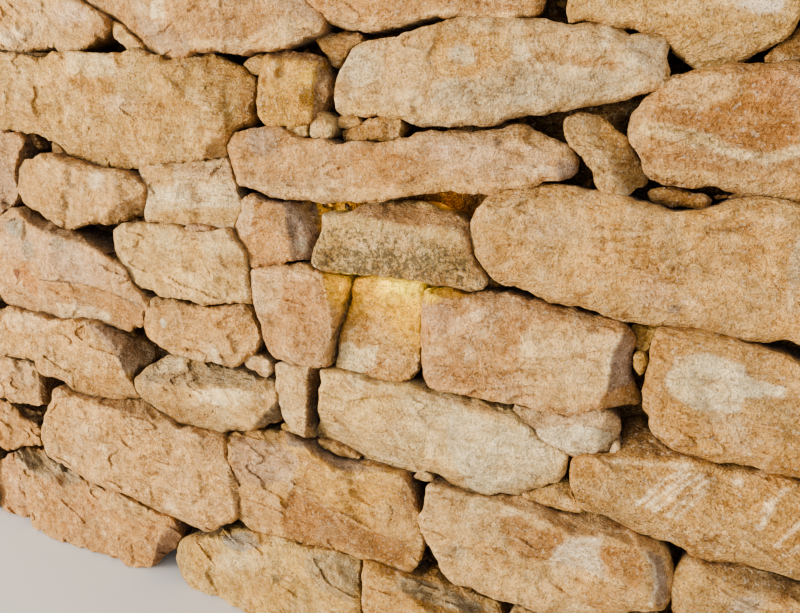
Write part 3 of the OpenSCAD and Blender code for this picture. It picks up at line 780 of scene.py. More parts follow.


# ---------------------------------------------------------------- the stones of the photographed stretch
# o: outline on the face in mm.  p: how far the middle stands out.  c, c2, c3, cb: tones.
# f: (line, slope), the surface falls away to the left of the line.  b: swellings.  l: ledges.  k: cracks.
# m: patches of another tone; some are painted shade on turned-away facets and under ledges, and the yellow ones by the
# niche are a painted pool of lamp light.  A text that starts with @ is in pixels of the 800 x 613 frame.
FRONT = {
 "front_course_8": [
  dict(o="-640,1150 -645,1040 -607,1021 -575,1014 -540,1012 -510,1011 -485,1013 -462,1018 -452,1019 -444,1010 -425,1005 -400,1007 -370,1010 -340,1011 -322,1017 -308,1028 -303,1040 -304,1049 -325,1060 -352,1070 -375,1082 -392,1098 -400,1150",
   p=20, c="214,178,128", c2="228,198,156", c3="196,150,100", s=(-28, 90, 9), sa=1.3, band=.35, f=[("@98,16 90,46", .55), ("@100,46 4,40", .22)],
   m=[("e@", 12, 35, 18, 9, 0, "232,208,178", .8), ("e@", 70, 14, 16, 11, 0, "230,200,176", .7), ("p", "@93,22 112,16 112,46 94,50 86,40", "188,132,84", .75, 6), ("e@", 30, 12, 14, 7, 0, "222,190,150", .5)]),
  dict(o="-392,1150 -386,1100 -368,1085 -345,1072 -320,1062 -298,1056 -285,1046 -270,1034 -258,1026 -245,1016 -232,1004 -215,995 -195,988 -175,984 -152,984 -135,988 -115,991 -95,992 -70,989 -45,986 -20,985 0,987 30,986 55,988 75,992 95,1001 112,1006 119,1012 121,1020 108,1034 92,1045 78,1053 62,1070 55,1150",
   p=24, c="206,162,116", c2="216,178,136", c3="196,146,98", f=[("@182,46 128,6", .5), ("@318,44 182,46", .35), ("@270,2 326,34", .3)],
   m=[("p", "@133,14 160,24 186,34 190,50 178,55 165,50 140,30", "188,160,136", .7, 6), ("p", "@151,0 163,0 164,18 150,20", "236,218,186", .95, 2.5), ("p", "@190,4 262,2 262,38 226,42 190,38", "200,142,92", .55, 9), ("p", "@262,28 300,16 322,30 318,46 270,48 236,47", "226,196,148", .6, 6), ("p", "@268,0 304,0 324,24 300,18", "214,182,150", .6, 6), ("e@", 222, 44, 36, 5, 0, "228,198,150", .6)],
   k=[("@182,30 176,42 186,52", 1.6, 2.5)]),
  dict(o="76,1150 80,1056 98,1040 115,1028 128,1016 142,1009 165,1004 195,1003 225,1006 250,1009 275,1013 300,1015 325,1013 350,1009 372,1003 395,1001 415,1003 426,1010 431,1022 434,1060 430,1150",
   p=22, c="206,154,106", c2="212,166,118", c3="192,138,90", ro=.8, f=[("@536,14 330,22", .5)],
   m=[("v", "@312,12 330,24 360,27 400,24 440,12 490,17 530,14", 5.5, "230,198,150", .75), ("e@", 380, 8, 40, 6, 0, "196,142,96", .5)]),
  dict(o="452,1150 455,1060 456,1020 461,1000 463,994 480,995 500,992 522,985 545,977 562,974 573,968 580,958 590,949 602,939 616,934 634,936 652,944 668,953 682,963 692,972 697,983 699,1000 702,1060 700,1150",
   p=24, c="206,168,112", c2="222,190,138", c3="186,144,88", s=(12, 80, 11), sa=1.6, band=.35, f=[("@796,24 722,34", .5), ("@722,34 640,24", .45), ("@640,22 568,12", .3)],
   m=[("p", "@733,0 786,0 780,14 760,13 742,8", "226,214,202", .9, 5), ("p", "@568,20 640,22 648,30 610,26 570,24", "176,128,74", .6, 4), ("e@", 664, 12, 60, 8, 10, "226,196,144", .5)],
   l=[("@748,34 700,22 650,10", 3.0)]),
  dict(o="712,1150 710,1060 706,1010 704,985 712,965 730,955 780,950 850,952 880,1000 884,1080 880,1150", p=12, c="204,160,112", c2="214,176,130", c3="184,138,92"),
 ],
 "front_course_7": [
  dict(o="22,984 40,983 60,982 85,978 105,973 118,966 124,955 128,940 131,922 128,905 118,893 100,884 75,879 50,876 28,875 10,878 0,888 -3,905 -3,930 2,955 10,972",
   p=24, c="208,158,84", c2="214,170,100", c3="182,130,72", g=.85, r=6, f=[("@264,60 322,64", .8), ("@316,66 309,120", .6), ("@312,122 262,124", .3)],
   # the 150,102,66 patch is painted shade on the top facet and the 176,140,108 patch painted shade on the right facet
   m=[("p", "@262,48 332,46 328,62 314,62 296,59 266,58", "150,102,66", .75, 4), ("p", "@317,66 332,70 333,122 312,122", "176,140,108", .8, 5), ("e@", 306, 80, 9, 9, 0, "224,180,84", .8), ("e@", 280, 74, 16, 12, 0, "222,176,110", .5), ("e@", 292, 104, 16, 8, 0, "186,132,66", .5)]),
  dict(o="137,930 137,915 140,902 150,895 170,893 195,892 220,890 240,888 255,880 275,877 300,876 330,876 360,877 385,880 405,886 430,891 455,894 480,896 505,899 530,906 550,912 565,914 573,916 577,925 577,932 573,945 573,960 572,970 560,973 545,975 525,982 505,987 485,990 460,993 435,997 410,1001 385,1003 360,1006 335,1008 312,1007 295,1004 275,1001 255,996 238,990 215,990 195,989 178,984 166,978 158,968 150,955 142,942",
   p=26, c="208,178,134", c2="222,198,160", c3="194,156,104", ro=1.25, f=[("@622,42 650,78", .3), ("@658,84 545,104", .5), ("@440,116 345,106", .25), ("@342,60 372,30", .2), ("@500,28 560,34 ", .2)],
   l=[("@628,68 584,58 556,54 520,60 506,66", 4.5, 4), ("@512,40 512,64", 3.0, 4), ("@600,30 560,34 512,30", 2.5)],
   # the 186,134,82 band is a painted shadow under the ledge
   m=[("p", "@436,36 508,32 512,60 476,76 438,78 432,58", "212,160,92", .6, 8), ("e@", 462, 54, 14, 11, 0, "224,206,176", .85), ("p", "@530,50 586,55 628,62 626,72 590,66 536,62", "186,134,82", .6, 5), ("p", "@433,84 520,72 600,74 640,82 600,96 540,104 470,112 430,102", "200,180,150", .6, 9),
      ("p", "@627,44 664,42 663,82 646,76", "218,196,170", .8, 4), ("e@", 360, 68, 24, 20, 0, "222,204,174", .65), ("p", "@340,100 345,112 420,122 480,122 440,112 400,112", "226,192,134", .6, 5), ("p", "@514,40 524,38 530,56 520,62 512,62", "232,210,172", .75, 3), ("e@", 606, 36, 8, 12, 0, "228,208,176", .7), ("e@", 500, 92, 40, 9, -8, "206,190,164", .4)],
   k=[("@434,44 428,60 440,72", 1.6, 2.5), ("@540,72 548,84 540,90", 1.4, 2.0)]),
 ],
 "front_course_6": [
  dict(o="-690,1006 -650,1010 -607,1012 -575,1010 -545,1006 -520,1001 -500,998 -485,998 -470,1004 -455,1005 -440,1002 -420,1004 -400,1005 -370,1001 -340,998 -310,997 -290,997 -270,1000 -250,1001 -235,996 -215,990 -195,984 -175,981 -150,984 -125,987 -100,985 -75,980 -50,969 -30,959 -12,949 -4,946 -5,925 -8,905 -6,888 -12,876 -30,874 -48,870 -58,860 -66,850 -64,838 -62,829 -80,830 -100,829 -125,825 -150,820 -180,817 -210,814 -240,810 -265,808 -290,806 -320,804 -345,806 -370,810 -395,816 -415,818 -432,820 -445,830 -455,840 -470,848 -485,850 -498,852 -512,860 -528,866 -550,867 -575,868 -605,870 -635,872 -690,876",
   p=28, c="206,166,106", c2="220,186,136", c3="190,144,86", ro=1.35, g=.85, s=(-4, 100, 16), sa=1.5, band=.3, f=[("@150,70 214,112 222,122 196,156 190,170", .26), ("@240,84 246,130", .6), ("@226,126 212,140 197,162", .6, 2), ("@160,148 66,126", .3), ("@66,126 0,104", .5), ("@196,52 256,84", .35)],
   b=[(-170, 925, 60, 26, -35, 9), (-360, 985, 60, 14, 0, 5), (-300, 850, 110, 26, 0, 5)],
   l=[("@122,79 94,78 68,75", 7.0, 3), ("@170,110 120,104 60,96 20,90", 3.5, 4), ("@40,124 20,114 0,110", 5.0, 3)],
   # the 182,132,72 patch under the pale ledge is partly painted shade, and the 184,126,74 patch is painted shade in the
   # hollow at the right end
   m=[("p", "@65,52 112,53 116,76 92,77 66,73", "226,206,170", .85, 4), ("p", "@68,78 118,80 112,95 80,92", "182,132,72", .55, 6), ("p", "@186,86 202,94 212,110 200,108 184,96", "232,206,156", .8, 5), ("p", "@220,120 246,122 234,154 196,156", "206,164,112", .6, 4), ("p", "@240,84 258,92 258,128 244,128 238,108", "184,126,74", .7, 6),
      ("e@", 170, 104, 30, 10, 0, "180,128,70", .4), ("e@", 40, 84, 26, 12, 0, "220,184,132", .4), ("e@", 122, 104, 20, 9, 0, "228,198,160", .5), ("e@", 100, 138, 30, 12, 0, "212,174,122", .4)]),
  dict(o="-66,848 -62,835 -58,820 -50,800 -44,789 -30,783 -10,777 15,768 40,764 70,764 100,766 130,768 160,768 190,768 215,772 245,778 275,784 305,789 335,790 360,789 385,789 405,796 430,801 455,805 468,808 480,812 489,820 488,835 480,846 465,856 448,864 430,870 412,877 398,876 380,872 360,869 340,868 318,869 300,868 285,870 268,870 255,862 240,856 215,855 185,854 155,852 135,852 115,857 90,860 70,862 50,870 38,876 15,877 -10,874 -30,873 -48,870 -58,860",
   p=22, c="204,160,116", c2="218,180,136", c3="190,144,98", grow=0.0, f=[("@250,132 392,140", .3), ("@470,132 570,150", .35), ("@560,160 556,184", .5), ("@236,176 232,142", .5)],
   b=[(60, 778, 130, 20, -4, 9), (250, 792, 110, 18, -6, 9), (400, 806, 70, 16, -14, 8)],
   m=[("e@", 262, 142, 16, 14, 0, "176,152,134", .7), ("p", "@342,150 380,148 426,156 428,176 400,188 372,184", "194,138,90", .6, 7), ("p", "@240,182 300,190 400,188 440,178 480,184 560,180 556,186 480,192 400,200 300,198", "226,190,138", .7, 4),
      ("p", "@425,136 480,140 550,148 552,172 500,178 450,170", "214,180,146", .5, 9), ("p", "@556,158 578,166 576,184 558,184", "176,150,138", .75, 5), ("e@", 498, 143, 5, 5, 0, "142,112,92", .8), ("e@", 472, 148, 4, 2, 0, "142,116,100", .8), ("e@", 534, 168, 18, 6, 0, "230,206,176", .6), ("e@", 440, 150, 16, 9, 0, "214,168,140", .5)],
   k=[("@402,186 430,172 460,172 520,182", 2.2, 3.0)]),
  dict(o="540,872 545,890 556,902 570,918 580,928 600,932 640,935 680,937 715,938 745,937 820,934 874,930 880,870 872,806 800,797 752,796 730,792 705,797 680,801 655,805 630,807 605,808 585,810 572,814 564,822 560,835 552,848 543,858",
   p=24, c="198,146,98", c2="214,172,126", c3="178,120,74", s=(-2, 120, 12), band=.3, f=[("@641,168 648,128", .5), ("@648,128 662,80", .6), ("@800,184 646,170", .45), ("@664,82 800,72", .4)],
   m=[("p", "@668,76 742,74 738,88 724,100 700,112 668,104", "222,186,140", .8, 5), ("p", "@628,100 658,84 652,110 644,150 636,156 627,132", "206,172,130", .7, 5), ("p", "@655,108 700,112 740,96 800,100 800,146 760,156 720,146 680,130 650,122", "176,116,72", .65, 7), ("p", "@764,70 800,70 800,104 756,98 746,84", "196,136,100", .6, 7),
      ("v", "@646,129 681,134 706,142 732,155 765,162 800,153", 9.5, "228,202,158", .95), ("v", "@646,126 681,130 706,138 732,151 765,158 800,149", 1.8, "150,128,84", .6), ("v", "@700,150 732,160 765,167 800,160", 3.5, "172,112,68", .7), ("p", "@646,166 700,172 760,182 800,188 800,200 700,186 650,176", "214,174,122", .7, 5), ("p", "@650,142 700,148 740,164 700,168 650,158", "194,138,92", .5, 5)]),
 ],
 "front_course_5": [
  dict(o="-700,868 -660,870 -635,869 -605,866 -575,862 -562,855 -560,845 -572,835 -585,822 -592,812 -600,800 -603,788 -607,775 -604,762 -600,750 -606,738 -618,728 -635,718 -655,707 -672,700 -705,705",
   p=16, c="186,144,108", c2="198,160,124", c3="166,122,88", f=[("@16,134 30,152", .45), ("@22,150 20,200", .5)],
   m=[("p", "@26,134 54,134 44,150 24,154", "112,78,54", .75, 5), ("e@", 6, 190, 12, 26, 0, "182,150,124", .6)]),
  dict(o="-604,772 -600,788 -594,802 -580,809 -560,813 -540,818 -520,825 -500,826 -480,823 -460,821 -440,821 -420,816 -400,811 -375,806 -350,803 -325,801 -300,798 -285,793 -270,785 -260,778 -256,768 -255,752 -256,738 -258,727 -270,723 -290,718 -315,712 -345,706 -370,702 -395,700 -420,697 -440,692 -458,688 -475,687 -492,692 -505,700 -522,703 -535,708 -548,716 -565,721 -582,726 -592,734 -598,745 -602,758",
   p=24, c="208,164,112", c2="222,186,142", c3="192,146,94", f=[("@60,164 140,186", .4), ("@143,194 110,210", .6), ("@70,224 24,196", .35), ("@22,190 30,166", .4)],
   # the 184,140,94 patch is painted shade on the lower right facet
   m=[("e@", 95, 180, 9, 8, 20, "232,208,176", .85), ("p", "@110,206 143,194 144,212 114,220", "184,140,94", .7, 4), ("e@", 56, 172, 20, 8, 0, "222,188,144", .6), ("e@", 48, 198, 16, 8, 0, "198,152,98", .5), ("e@", 100, 198, 16, 6, 0, "222,184,138", .4)]),
  dict(o="-264,806 -245,810 -215,813 -185,816 -160,820 -135,825 -110,827 -85,828 -66,827 -60,818 -57,805 -50,790 -47,775 -40,764 -38,750 -46,738 -54,725 -57,713 -75,712 -100,712 -130,713 -160,714 -185,716 -205,713 -230,715 -254,716 -257,728 -255,745 -253,760 -257,775 -258,788 -262,798",
   p=22, c="222,196,156", c2="234,214,180", c3="206,170,118", f=[("@176,172 242,178", .5), ("@242,208 150,208", .35), ("@174,190 172,168", .18)],
   l=[("@226,196 200,190 176,186", 3.5, 3)],
   m=[("p", "@142,166 172,166 174,186 146,188", "210,164,106", .75, 4), ("p", "@180,165 240,166 240,178 184,176", "190,154,120", .6, 5), ("p", "@152,212 200,208 242,206 242,226 150,222", "214,172,110", .75, 5), ("e@", 170, 196, 18, 7, 0, "238,218,186", .7), ("e@", 216, 192, 20, 7, 0, "232,208,172", .5)]),
  dict(o="-338,690 -328,700 -312,707 -285,709 -255,710 -225,711 -200,712 -172,708 -150,704 -125,703 -100,706 -78,710 -62,711 -56,705 -51,695 -45,686 -38,676 -32,664 -28,650 -27,635 -24,618 -22,602 -24,592 -38,591 -50,592 -65,588 -85,584 -110,580 -140,578 -165,580 -190,583 -212,580 -232,584 -255,589 -275,592 -292,598 -305,606 -318,618 -326,632 -332,645 -338,660 -341,675",
   p=24, c="216,184,130", c2="226,200,152", c3="198,158,100", ro=1.15, f=[("@124,228 236,230", .4), ("@240,246 248,282", .4), ("@226,302 140,284", .3), ("@132,270 120,240", .35)],
   m=[("p", "@216,256 240,252 244,272 220,272", "186,146,98", .65, 5), ("p", "@186,230 238,228 242,242 190,240", "200,166,124", .5, 6), ("e@", 150, 262, 18, 12, 0, "204,162,102", .5), ("e@", 190, 282, 24, 9, 0, "228,204,160", .5), ("e@", 170, 240, 20, 8, 0, "228,200,150", .5)],
   k=[("@206,264 212,278", 1.4, 2.5), ("@244,254 250,270", 2.0, 2.5)]),
  dict(o="-38,757 -30,766 -15,771 5,764 30,762 55,764 85,766 108,765 113,752 113,735 110,718 104,702 97,688 90,677 75,674 50,671 25,667 0,661 -15,656 -22,658 -30,668 -38,678 -46,688 -51,698 -54,710 -52,722 -45,735 -38,746",
   p=26, c="202,150,104", c2="212,166,124", c3="184,132,92", ro=.8, f=[("@283,203 287,232 292,264", .48, 2), ("@252,203 320,205", .7), ("@252,262 254,206", .5, 3)],
   # the 176,150,134 patch is painted shade on the right facet, paler low down with 196,182,172, and the 150,118,100
   # strip is painted shade on the top facet
   m=[("p", "@284,200 322,200 318,260 292,264 287,232", "176,150,134", .9, 2.5), ("e@", 304, 246, 9, 7, -15, "196,182,172", .85), ("p", "@236,198 254,200 250,236 240,236 234,220", "222,192,158", .85, 4), ("p", "@256,194 320,198 316,206 284,205 256,202", "150,118,100", .7, 3), ("e@", 268, 224, 10, 16, 0, "206,146,92", .5)]),
  dict(o="352,755 357,770 368,780 385,790 400,797 430,802 460,803 490,801 520,796 545,792 565,787 590,780 612,776 640,782 665,795 682,800 712,798 735,790 790,786 860,788 868,720 860,645 800,640 750,640 735,642 715,635 690,633 665,636 640,640 605,642 580,640 560,640 540,646 510,650 480,655 450,660 420,668 400,671 385,680 375,690 365,702 356,720 352,740",
   p=30, c="210,166,112", c2="220,182,132", c3="196,148,92", ro=1.1, f=[("@484,266 480,214", .6), ("@482,208 560,192", .35), ("@760,326 640,306", .35), ("@640,306 500,272", .3), ("@700,214 800,216", .25)],
   b=[(420, 735, 70, 46, 10, 8), (560, 720, 80, 40, 0, 5), (700, 690, 90, 36, 10, 6), (700, 770, 70, 18, 0, 5)],
   k=[("@604,244 606,254", 4.5, 12.0), ("@604,218 606,250", 4.0, 4.5), ("@634,268 652,266 672,259", 2.2, 5.0), ("@673,259 674,276 680,292", 1.6, 3.0), ("@701,230 724,223 755,222", 4.0, 6.0), ("@690,254 708,236 724,228", 2.4, 3.5)],
   l=[("@676,262 690,250 706,234", 4.0, 6)],
   # the 160,112,72 patch is a painted shadow along the arc of the hollow
   m=[("e@", 616, 236, 7, 16, 20, "214,158,92", .6), ("p", "@700,230 756,222 752,230 716,236", "160,112,72", .6, 4), ("e@", 652, 290, 18, 16, 0, "216,184,152", .65), ("e@", 674, 309, 7, 5, 0, "150,128,112", .75), ("e@", 708, 210, 24, 8, 0, "210,158,96", .6), ("e@", 796, 266, 8, 26, 0, "188,172,148", .7), ("e@", 500, 230, 16, 20, 0, "200,148,94", .4), ("e@", 540, 226, 26, 12, 0, "218,178,136", .45), ("e@", 560, 262, 50, 10, 6, "214,170,114", .4), ("e@", 740, 256, 30, 12, 0, "202,154,104", .5), ("e@", 740, 318, 50, 8, 4, "214,174,124", .5)]),
 ],
 "front_course_4": [
  dict(o="-700,530 -688,516 -672,510 -650,508 -630,505 -610,501 -590,502 -572,510 -560,510 -551,501 -530,501 -505,500 -480,502 -455,505 -430,508 -400,510 -370,508 -345,504 -325,503 -312,508 -302,514 -290,514 -280,522 -278,535 -274,548 -262,556 -256,565 -254,575 -262,578 -275,582 -288,592 -300,600 -312,612 -324,630 -340,637 -360,644 -380,654 -398,664 -418,673 -438,682 -452,687 -470,684 -490,690 -505,698 -525,702 -545,710 -570,718 -600,721 -620,718 -640,711 -660,703 -690,690 -735,680 -745,600 -735,540",
   p=26, c="204,160,116", c2="216,180,140", c3="188,140,98", f=[("@16,208 30,226 48,234 90,246 114,262", .8), ("@140,302 102,284 42,284", .28), ("@120,264 142,300", .5)],
   # the 160,126,96 strip is painted shade on the top facet, under the stone above
   m=[("p", "@20,207 56,220 76,231 112,238 122,260 104,256 76,240 46,234 28,222", "160,126,96", .75, 4), ("p", "@2,220 44,236 76,244 104,262 108,284 44,284 36,262 4,258", "206,176,150", .7, 6), ("e@", 16, 228, 9, 9, 0, "172,164,150", .8), ("e@", 28, 250, 6, 9, 0, "168,160,146", .7), ("e@", 58, 244, 9, 7, 0, "186,170,150", .6), ("p", "@22,260 38,282 40,300 24,288 20,272", "200,132,80", .8, 3), ("e@", 17, 273, 3, 5, 0, "142,72,44", .8),
      ("p", "@44,284 84,284 112,294 140,306 144,326 128,330 96,306 60,298", "200,146,96", .85, 2), ("p", "@56,302 94,308 98,321 62,320", "232,206,166", .8, 2), ("p", "@38,286 48,300 50,320 36,312", "224,192,148", .6, 3), ("v", "@38,280 80,283 108,292 142,306", 1.8, "136,96,66", .8), ("e@", 104, 316, 7, 4, 0, "230,204,160", .8)]),
  dict(o="-255,572 -240,577 -215,577 -190,579 -165,577 -140,575 -110,576 -85,580 -62,584 -45,588 -28,586 -22,578 -18,565 -14,550 -8,538 -10,525 -20,512 -30,500 -42,488 -55,478 -75,474 -100,473 -130,473 -160,473 -190,475 -215,478 -235,483 -252,488 -266,492 -274,500 -276,515 -277,530 -274,545 -264,556 -257,563",
   p=22, c="208,162,110", c2="220,182,136", c3="190,144,94", g=.9, ro=1.2, f=[("@156,306 252,310", .35), ("@250,318 262,346", .3), ("@230,362 156,348", .35), ("@152,338 148,316", .4)],
   m=[("e@", 163, 323, 2.5, 4, 20, "224,222,214", .9), ("p", "@150,348 190,354 230,360 226,366 190,360 154,354", "228,202,162", .6, 4), ("e@", 214, 352, 5, 6, 0, "232,210,176", .8), ("e@", 200, 326, 26, 9, 0, "200,150,98", .4)]),
  dict(o="601,636 620,640 645,640 665,637 690,632 715,628 740,622 760,612 790,606 830,598 864,590 870,560 866,520 862,494 800,482 770,479 745,478 720,481 705,481 690,477 672,476 655,477 640,481 625,488 612,497 605,508 602,520 595,532 592,548 594,565 596,585 596,605 598,622",
   p=28, c="202,154,100", c2="214,172,120", c3="184,136,84", s=(-3, 110, 8), sa=1.2, band=.35, f=[("@662,436 652,376", .55), ("@656,366 664,340", .5), ("@770,344 800,362", .5), ("@800,466 700,446", .35), ("@700,448 664,436", .5), ("@668,338 770,344", .35)],
   m=[("p", "@665,377 678,357 706,354 744,364 752,380 788,388 783,398 744,398 739,413 693,408 670,395", "232,214,182", .95, 4), ("e@", 700, 380, 18, 7, 0, "216,194,158", .55), ("e@", 724, 424, 22, 9, 0, "218,186,140", .6), ("p", "@668,344 760,350 790,366 750,360 700,350", "190,146,96", .5, 5), ("e@", 690, 430, 26, 9, 0, "200,142,84", .5), ("e@", 740, 440, 10, 14, 0, "222,196,162", .4), ("e@", 776, 412, 24, 12, 0, "204,166,116", .5)],
   k=[("@690,372 706,380 724,382", 2.4, 3.0)]),
 ],
 "front_course_3": [
  dict(o="-740,470 -735,488 -712,492 -695,498 -675,505 -655,505 -630,501 -605,499 -580,497 -555,498 -530,496 -505,497 -480,500 -455,502 -430,504 -405,505 -380,503 -355,499 -335,497 -312,495 -290,491 -270,487 -254,482 -252,472 -258,458 -272,446 -290,434 -305,424 -316,412 -320,400 -318,388 -308,378 -300,374 -318,368 -338,360 -360,354 -385,350 -410,346 -435,343 -460,340 -478,343 -495,350 -508,358 -522,366 -545,370 -570,369 -590,370 -600,376 -608,388 -608,398 -625,402 -650,398 -680,396 -710,396 -742,398",
   p=24, c="208,166,112", c2="224,190,146", c3="190,146,94", g=.9, ro=1.2, f=[("@96,326 112,344", .6), ("@112,344 124,372", .6), ("@150,378 70,372", .3), ("@26,318 90,322", .3)],
   # the 174,144,120 and 196,170,146 patches are painted shade on the right facet
   m=[("p", "@84,323 110,326 156,350 154,360 134,374 122,370 114,352 100,338", "174,144,120", .8, 3), ("p", "@118,358 150,356 136,372 122,372", "196,170,146", .6, 4), ("p", "@2,314 40,312 60,322 40,334 10,330", "228,198,158", .6, 6), ("e@", 92, 384, 34, 8, 6, "198,146,88", .6), ("e@", 60, 350, 26, 12, 0, "216,178,128", .5), ("v", "@36,338 38,356 37,374", 1.8, "170,128,84", .5)]),
  dict(o="-800,392 -745,392 -710,391 -680,392 -650,393 -622,396 -606,390 -600,374 -588,368 -580,360 -578,345 -575,328 -575,312 -582,304 -600,299 -625,294 -650,290 -680,287 -700,286 -730,290 -800,292",
   p=18, c="200,160,114", c2="208,174,134", c3="182,142,98", f=[("@6,362 38,370", .4), ("@38,378 42,400", .5)], m=[("p", "@38,376 50,380 48,404 38,400", "150,106,70", .6, 4), ("e@", 20, 376, 14, 8, 0, "196,168,136", .5)]),
  dict(o="-318,405 -300,420 -282,432 -265,446 -250,456 -238,461 -222,467 -205,472 -185,474 -165,473 -140,472 -110,472 -80,471 -50,469 -25,467 0,463 15,462 20,452 22,438 26,422 32,408 36,400 28,393 15,386 0,380 -15,372 -32,364 -50,359 -70,356 -85,350 -100,341 -118,335 -140,334 -160,333 -180,333 -200,332 -220,335 -238,343 -255,353 -270,363 -285,370 -298,375 -310,388",
   p=26, c="204,172,122", c2="222,196,152", c3="178,142,94", ro=1.2, f=[("@140,382 190,386", .45), ("@190,386 262,388", .4), ("@280,398 254,424", .65), ("@240,424 180,400", .3), ("@176,406 150,386", .3)],
   # the 152,136,116 patch is painted shade on the lower right facet
   m=[("p", "@138,376 186,364 230,366 262,376 250,386 212,384 190,388 150,384", "176,154,124", .75, 5), ("p", "@158,360 182,358 184,370 168,374 152,372", "230,210,178", .8, 3), ("p", "@191,390 230,388 254,392 250,404 224,406 200,402", "236,218,184", .9, 4), ("p", "@162,404 196,406 206,420 180,424 166,414", "182,138,88", .55, 5), ("p", "@253,426 278,399 284,416 270,427", "152,136,116", .85, 3), ("e@", 230, 414, 20, 7, 0, "210,180,128", .5)],
   k=[("@206,420 216,408 226,404 252,408", 1.8, 3.0), ("@196,394 204,392", 1.6, 2.5)]),
  dict(o="24,492 32,499 50,500 75,500 95,500 108,499 104,482 97,465 91,448 87,430 84,412 86,398 94,386 100,379 85,377 65,380 50,385 42,393 37,405 32,420 26,438 22,455 21,472",
   p=22, c="218,190,148", c2="228,204,166", c3="204,172,128", am=.6, ro=.8, r=8, f=[("@308,370 304,432", .9, 3), ("@282,366 314,370", .4)], m=[("p", "@309,368 320,372 318,432 304,424", "150,112,82", .8, 2.5), ("e@", 300, 412, 8, 12, 0, "226,200,160", .5)]),
  dict(o="112,497 130,499 155,500 175,499 200,496 220,496 245,500 262,501 280,497 300,497 320,501 345,500 370,499 395,497 412,497 428,491 438,482 448,474 458,469 463,460 474,454 490,449 503,446 508,438 508,425 506,412 498,402 487,394 476,384 460,378 445,372 430,367 415,361 402,354 385,350 365,352 345,357 328,364 315,370 300,371 288,364 275,358 258,359 240,357 220,357 203,360 190,366 175,373 160,378 140,380 122,379 108,380 106,392 110,405 110,420 108,438 107,455 110,470 111,485",
   p=26, c="222,194,144", c2="230,206,160", c3="206,172,118", am=.75, ro=.8, f=[("@424,392 516,420", .7), ("@330,378 424,392", .3), ("@556,466 480,488", .4), ("@472,490 438,470", .5), ("@434,466 330,436", .3)],
   # the 176,142,108 strip is painted shade along the top, under the stone above
   m=[("p", "@452,402 480,416 520,430 566,456 556,474 500,490 470,494 458,470 446,440", "220,204,172", .75, 8), ("p", "@424,390 500,410 516,424 470,408 430,400", "176,142,108", .6, 4), ("v", "@324,392 334,398 348,402 366,398 392,396", 1.5, "176,142,72", .7), ("v", "@366,398 350,408 340,420 348,430 356,434 362,448 372,458 400,464", 1.6, "176,144,76", .7), ("p", "@434,466 458,472 472,492 448,486", "206,172,122", .7, 3), ("e@", 370, 416, 20, 12, 20, "226,200,148", .5), ("e@", 468, 430, 10, 6, 0, "234,216,184", .7), ("e@", 354, 380, 18, 6, 0, "226,204,166", .6)],
   k=[("@368,424 384,436 396,446", 1.2, 1.6), ("@376,420 392,428", 1.1, 1.4)]),
  dict(o="513,440 518,446 530,455 548,457 560,458 570,465 570,490 575,512 590,518 602,508 612,498 625,487 640,480 655,475 672,474 690,475 705,479 725,478 750,476 775,465 800,452 860,440 872,400 866,352 820,348 790,347 765,350 745,351 722,349 705,343 693,340 680,343 665,349 645,354 625,353 610,354 595,358 580,364 562,369 545,370 535,368 526,375 521,388 515,405 513,422",
   p=28, c="200,154,100", c2="210,168,116", c3="186,138,86", g=.9, s=(-14, 120, 8), f=[("@574,458 690,462", 1.1), ("@690,462 800,482", .7), ("@572,500 572,462", .5), ("@800,576 700,540", .3), ("@700,540 590,508", .3)],
   m=[("p", "@618,414 640,412 670,430 694,458 660,458 620,452", "158,116,76", .7, 5), ("p", "@612,459 650,462 690,464 684,470 646,466 612,464", "230,208,172", .7, 3),
      ("v", "@637,504 652,492 666,478 682,472", 2.6, "236,216,188", .85), ("v", "@645,508 660,496 678,482 690,474", 2.6, "236,216,188", .85), ("v", "@654,512 668,500 686,484 702,476", 2.8, "236,216,188", .85), ("v", "@668,516 684,502 700,486 712,478", 2.8, "236,216,188", .85), ("v", "@676,520 692,504 704,492", 2.2, "232,212,182", .75),
      ("v", "@760,528 768,514 776,500 784,490", 3.2, "236,216,188", .8), ("v", "@760,514 772,500", 2.6, "232,212,182", .7), ("v", "@776,546 790,534 800,524", 3.0, "236,216,188", .8), ("e@", 738, 482, 6, 4, 0, "234,212,180", .8), ("v", "@784,556 800,546", 3.0, "236,216,188", .8), ("e@", 600, 490, 18, 10, 0, "204,162,114", .4)],
   k=[("@640,436 660,448", 2.0, 3.0), ("@626,430 646,444", 2.0, 2.5)]),
 ],
 "front_course_2": [
  dict(o="-590,285 -598,272 -604,258 -608,245 -614,232 -618,218 -614,205 -610,192 -605,180 -590,172 -572,170 -555,170 -542,165 -525,162 -508,161 -495,158 -485,152 -465,150 -440,149 -415,148 -390,149 -370,150 -350,146 -330,140 -310,138 -290,136 -272,131 -255,128 -238,130 -222,132 -205,129 -185,127 -165,130 -148,128 -135,133 -120,145 -105,157 -90,166 -75,174 -68,186 -69,200 -70,215 -66,230 -64,245 -72,257 -82,270 -89,285 -92,300 -92,318 -88,335 -92,346 -110,345 -130,340 -155,336 -180,334 -205,333 -228,340 -248,348 -262,358 -275,365 -290,372 -302,372 -320,366 -340,358 -362,352 -385,348 -410,344 -435,341 -460,338 -485,342 -500,347 -515,352 -530,352 -545,347 -558,338 -566,325 -572,310 -580,298",
   p=30, c="210,168,118", c2="226,190,146", c3="192,146,96", g=1.0, ro=1.5, f=[("@60,396 130,414", .5), ("@130,414 222,444", .5), ("@224,452 234,516", .4), ("@210,524 100,482", .3), ("@100,482 46,452", .35)],
   # the 168,118,74 and 172,124,82 patches are painted shade on the top facet and on the right end
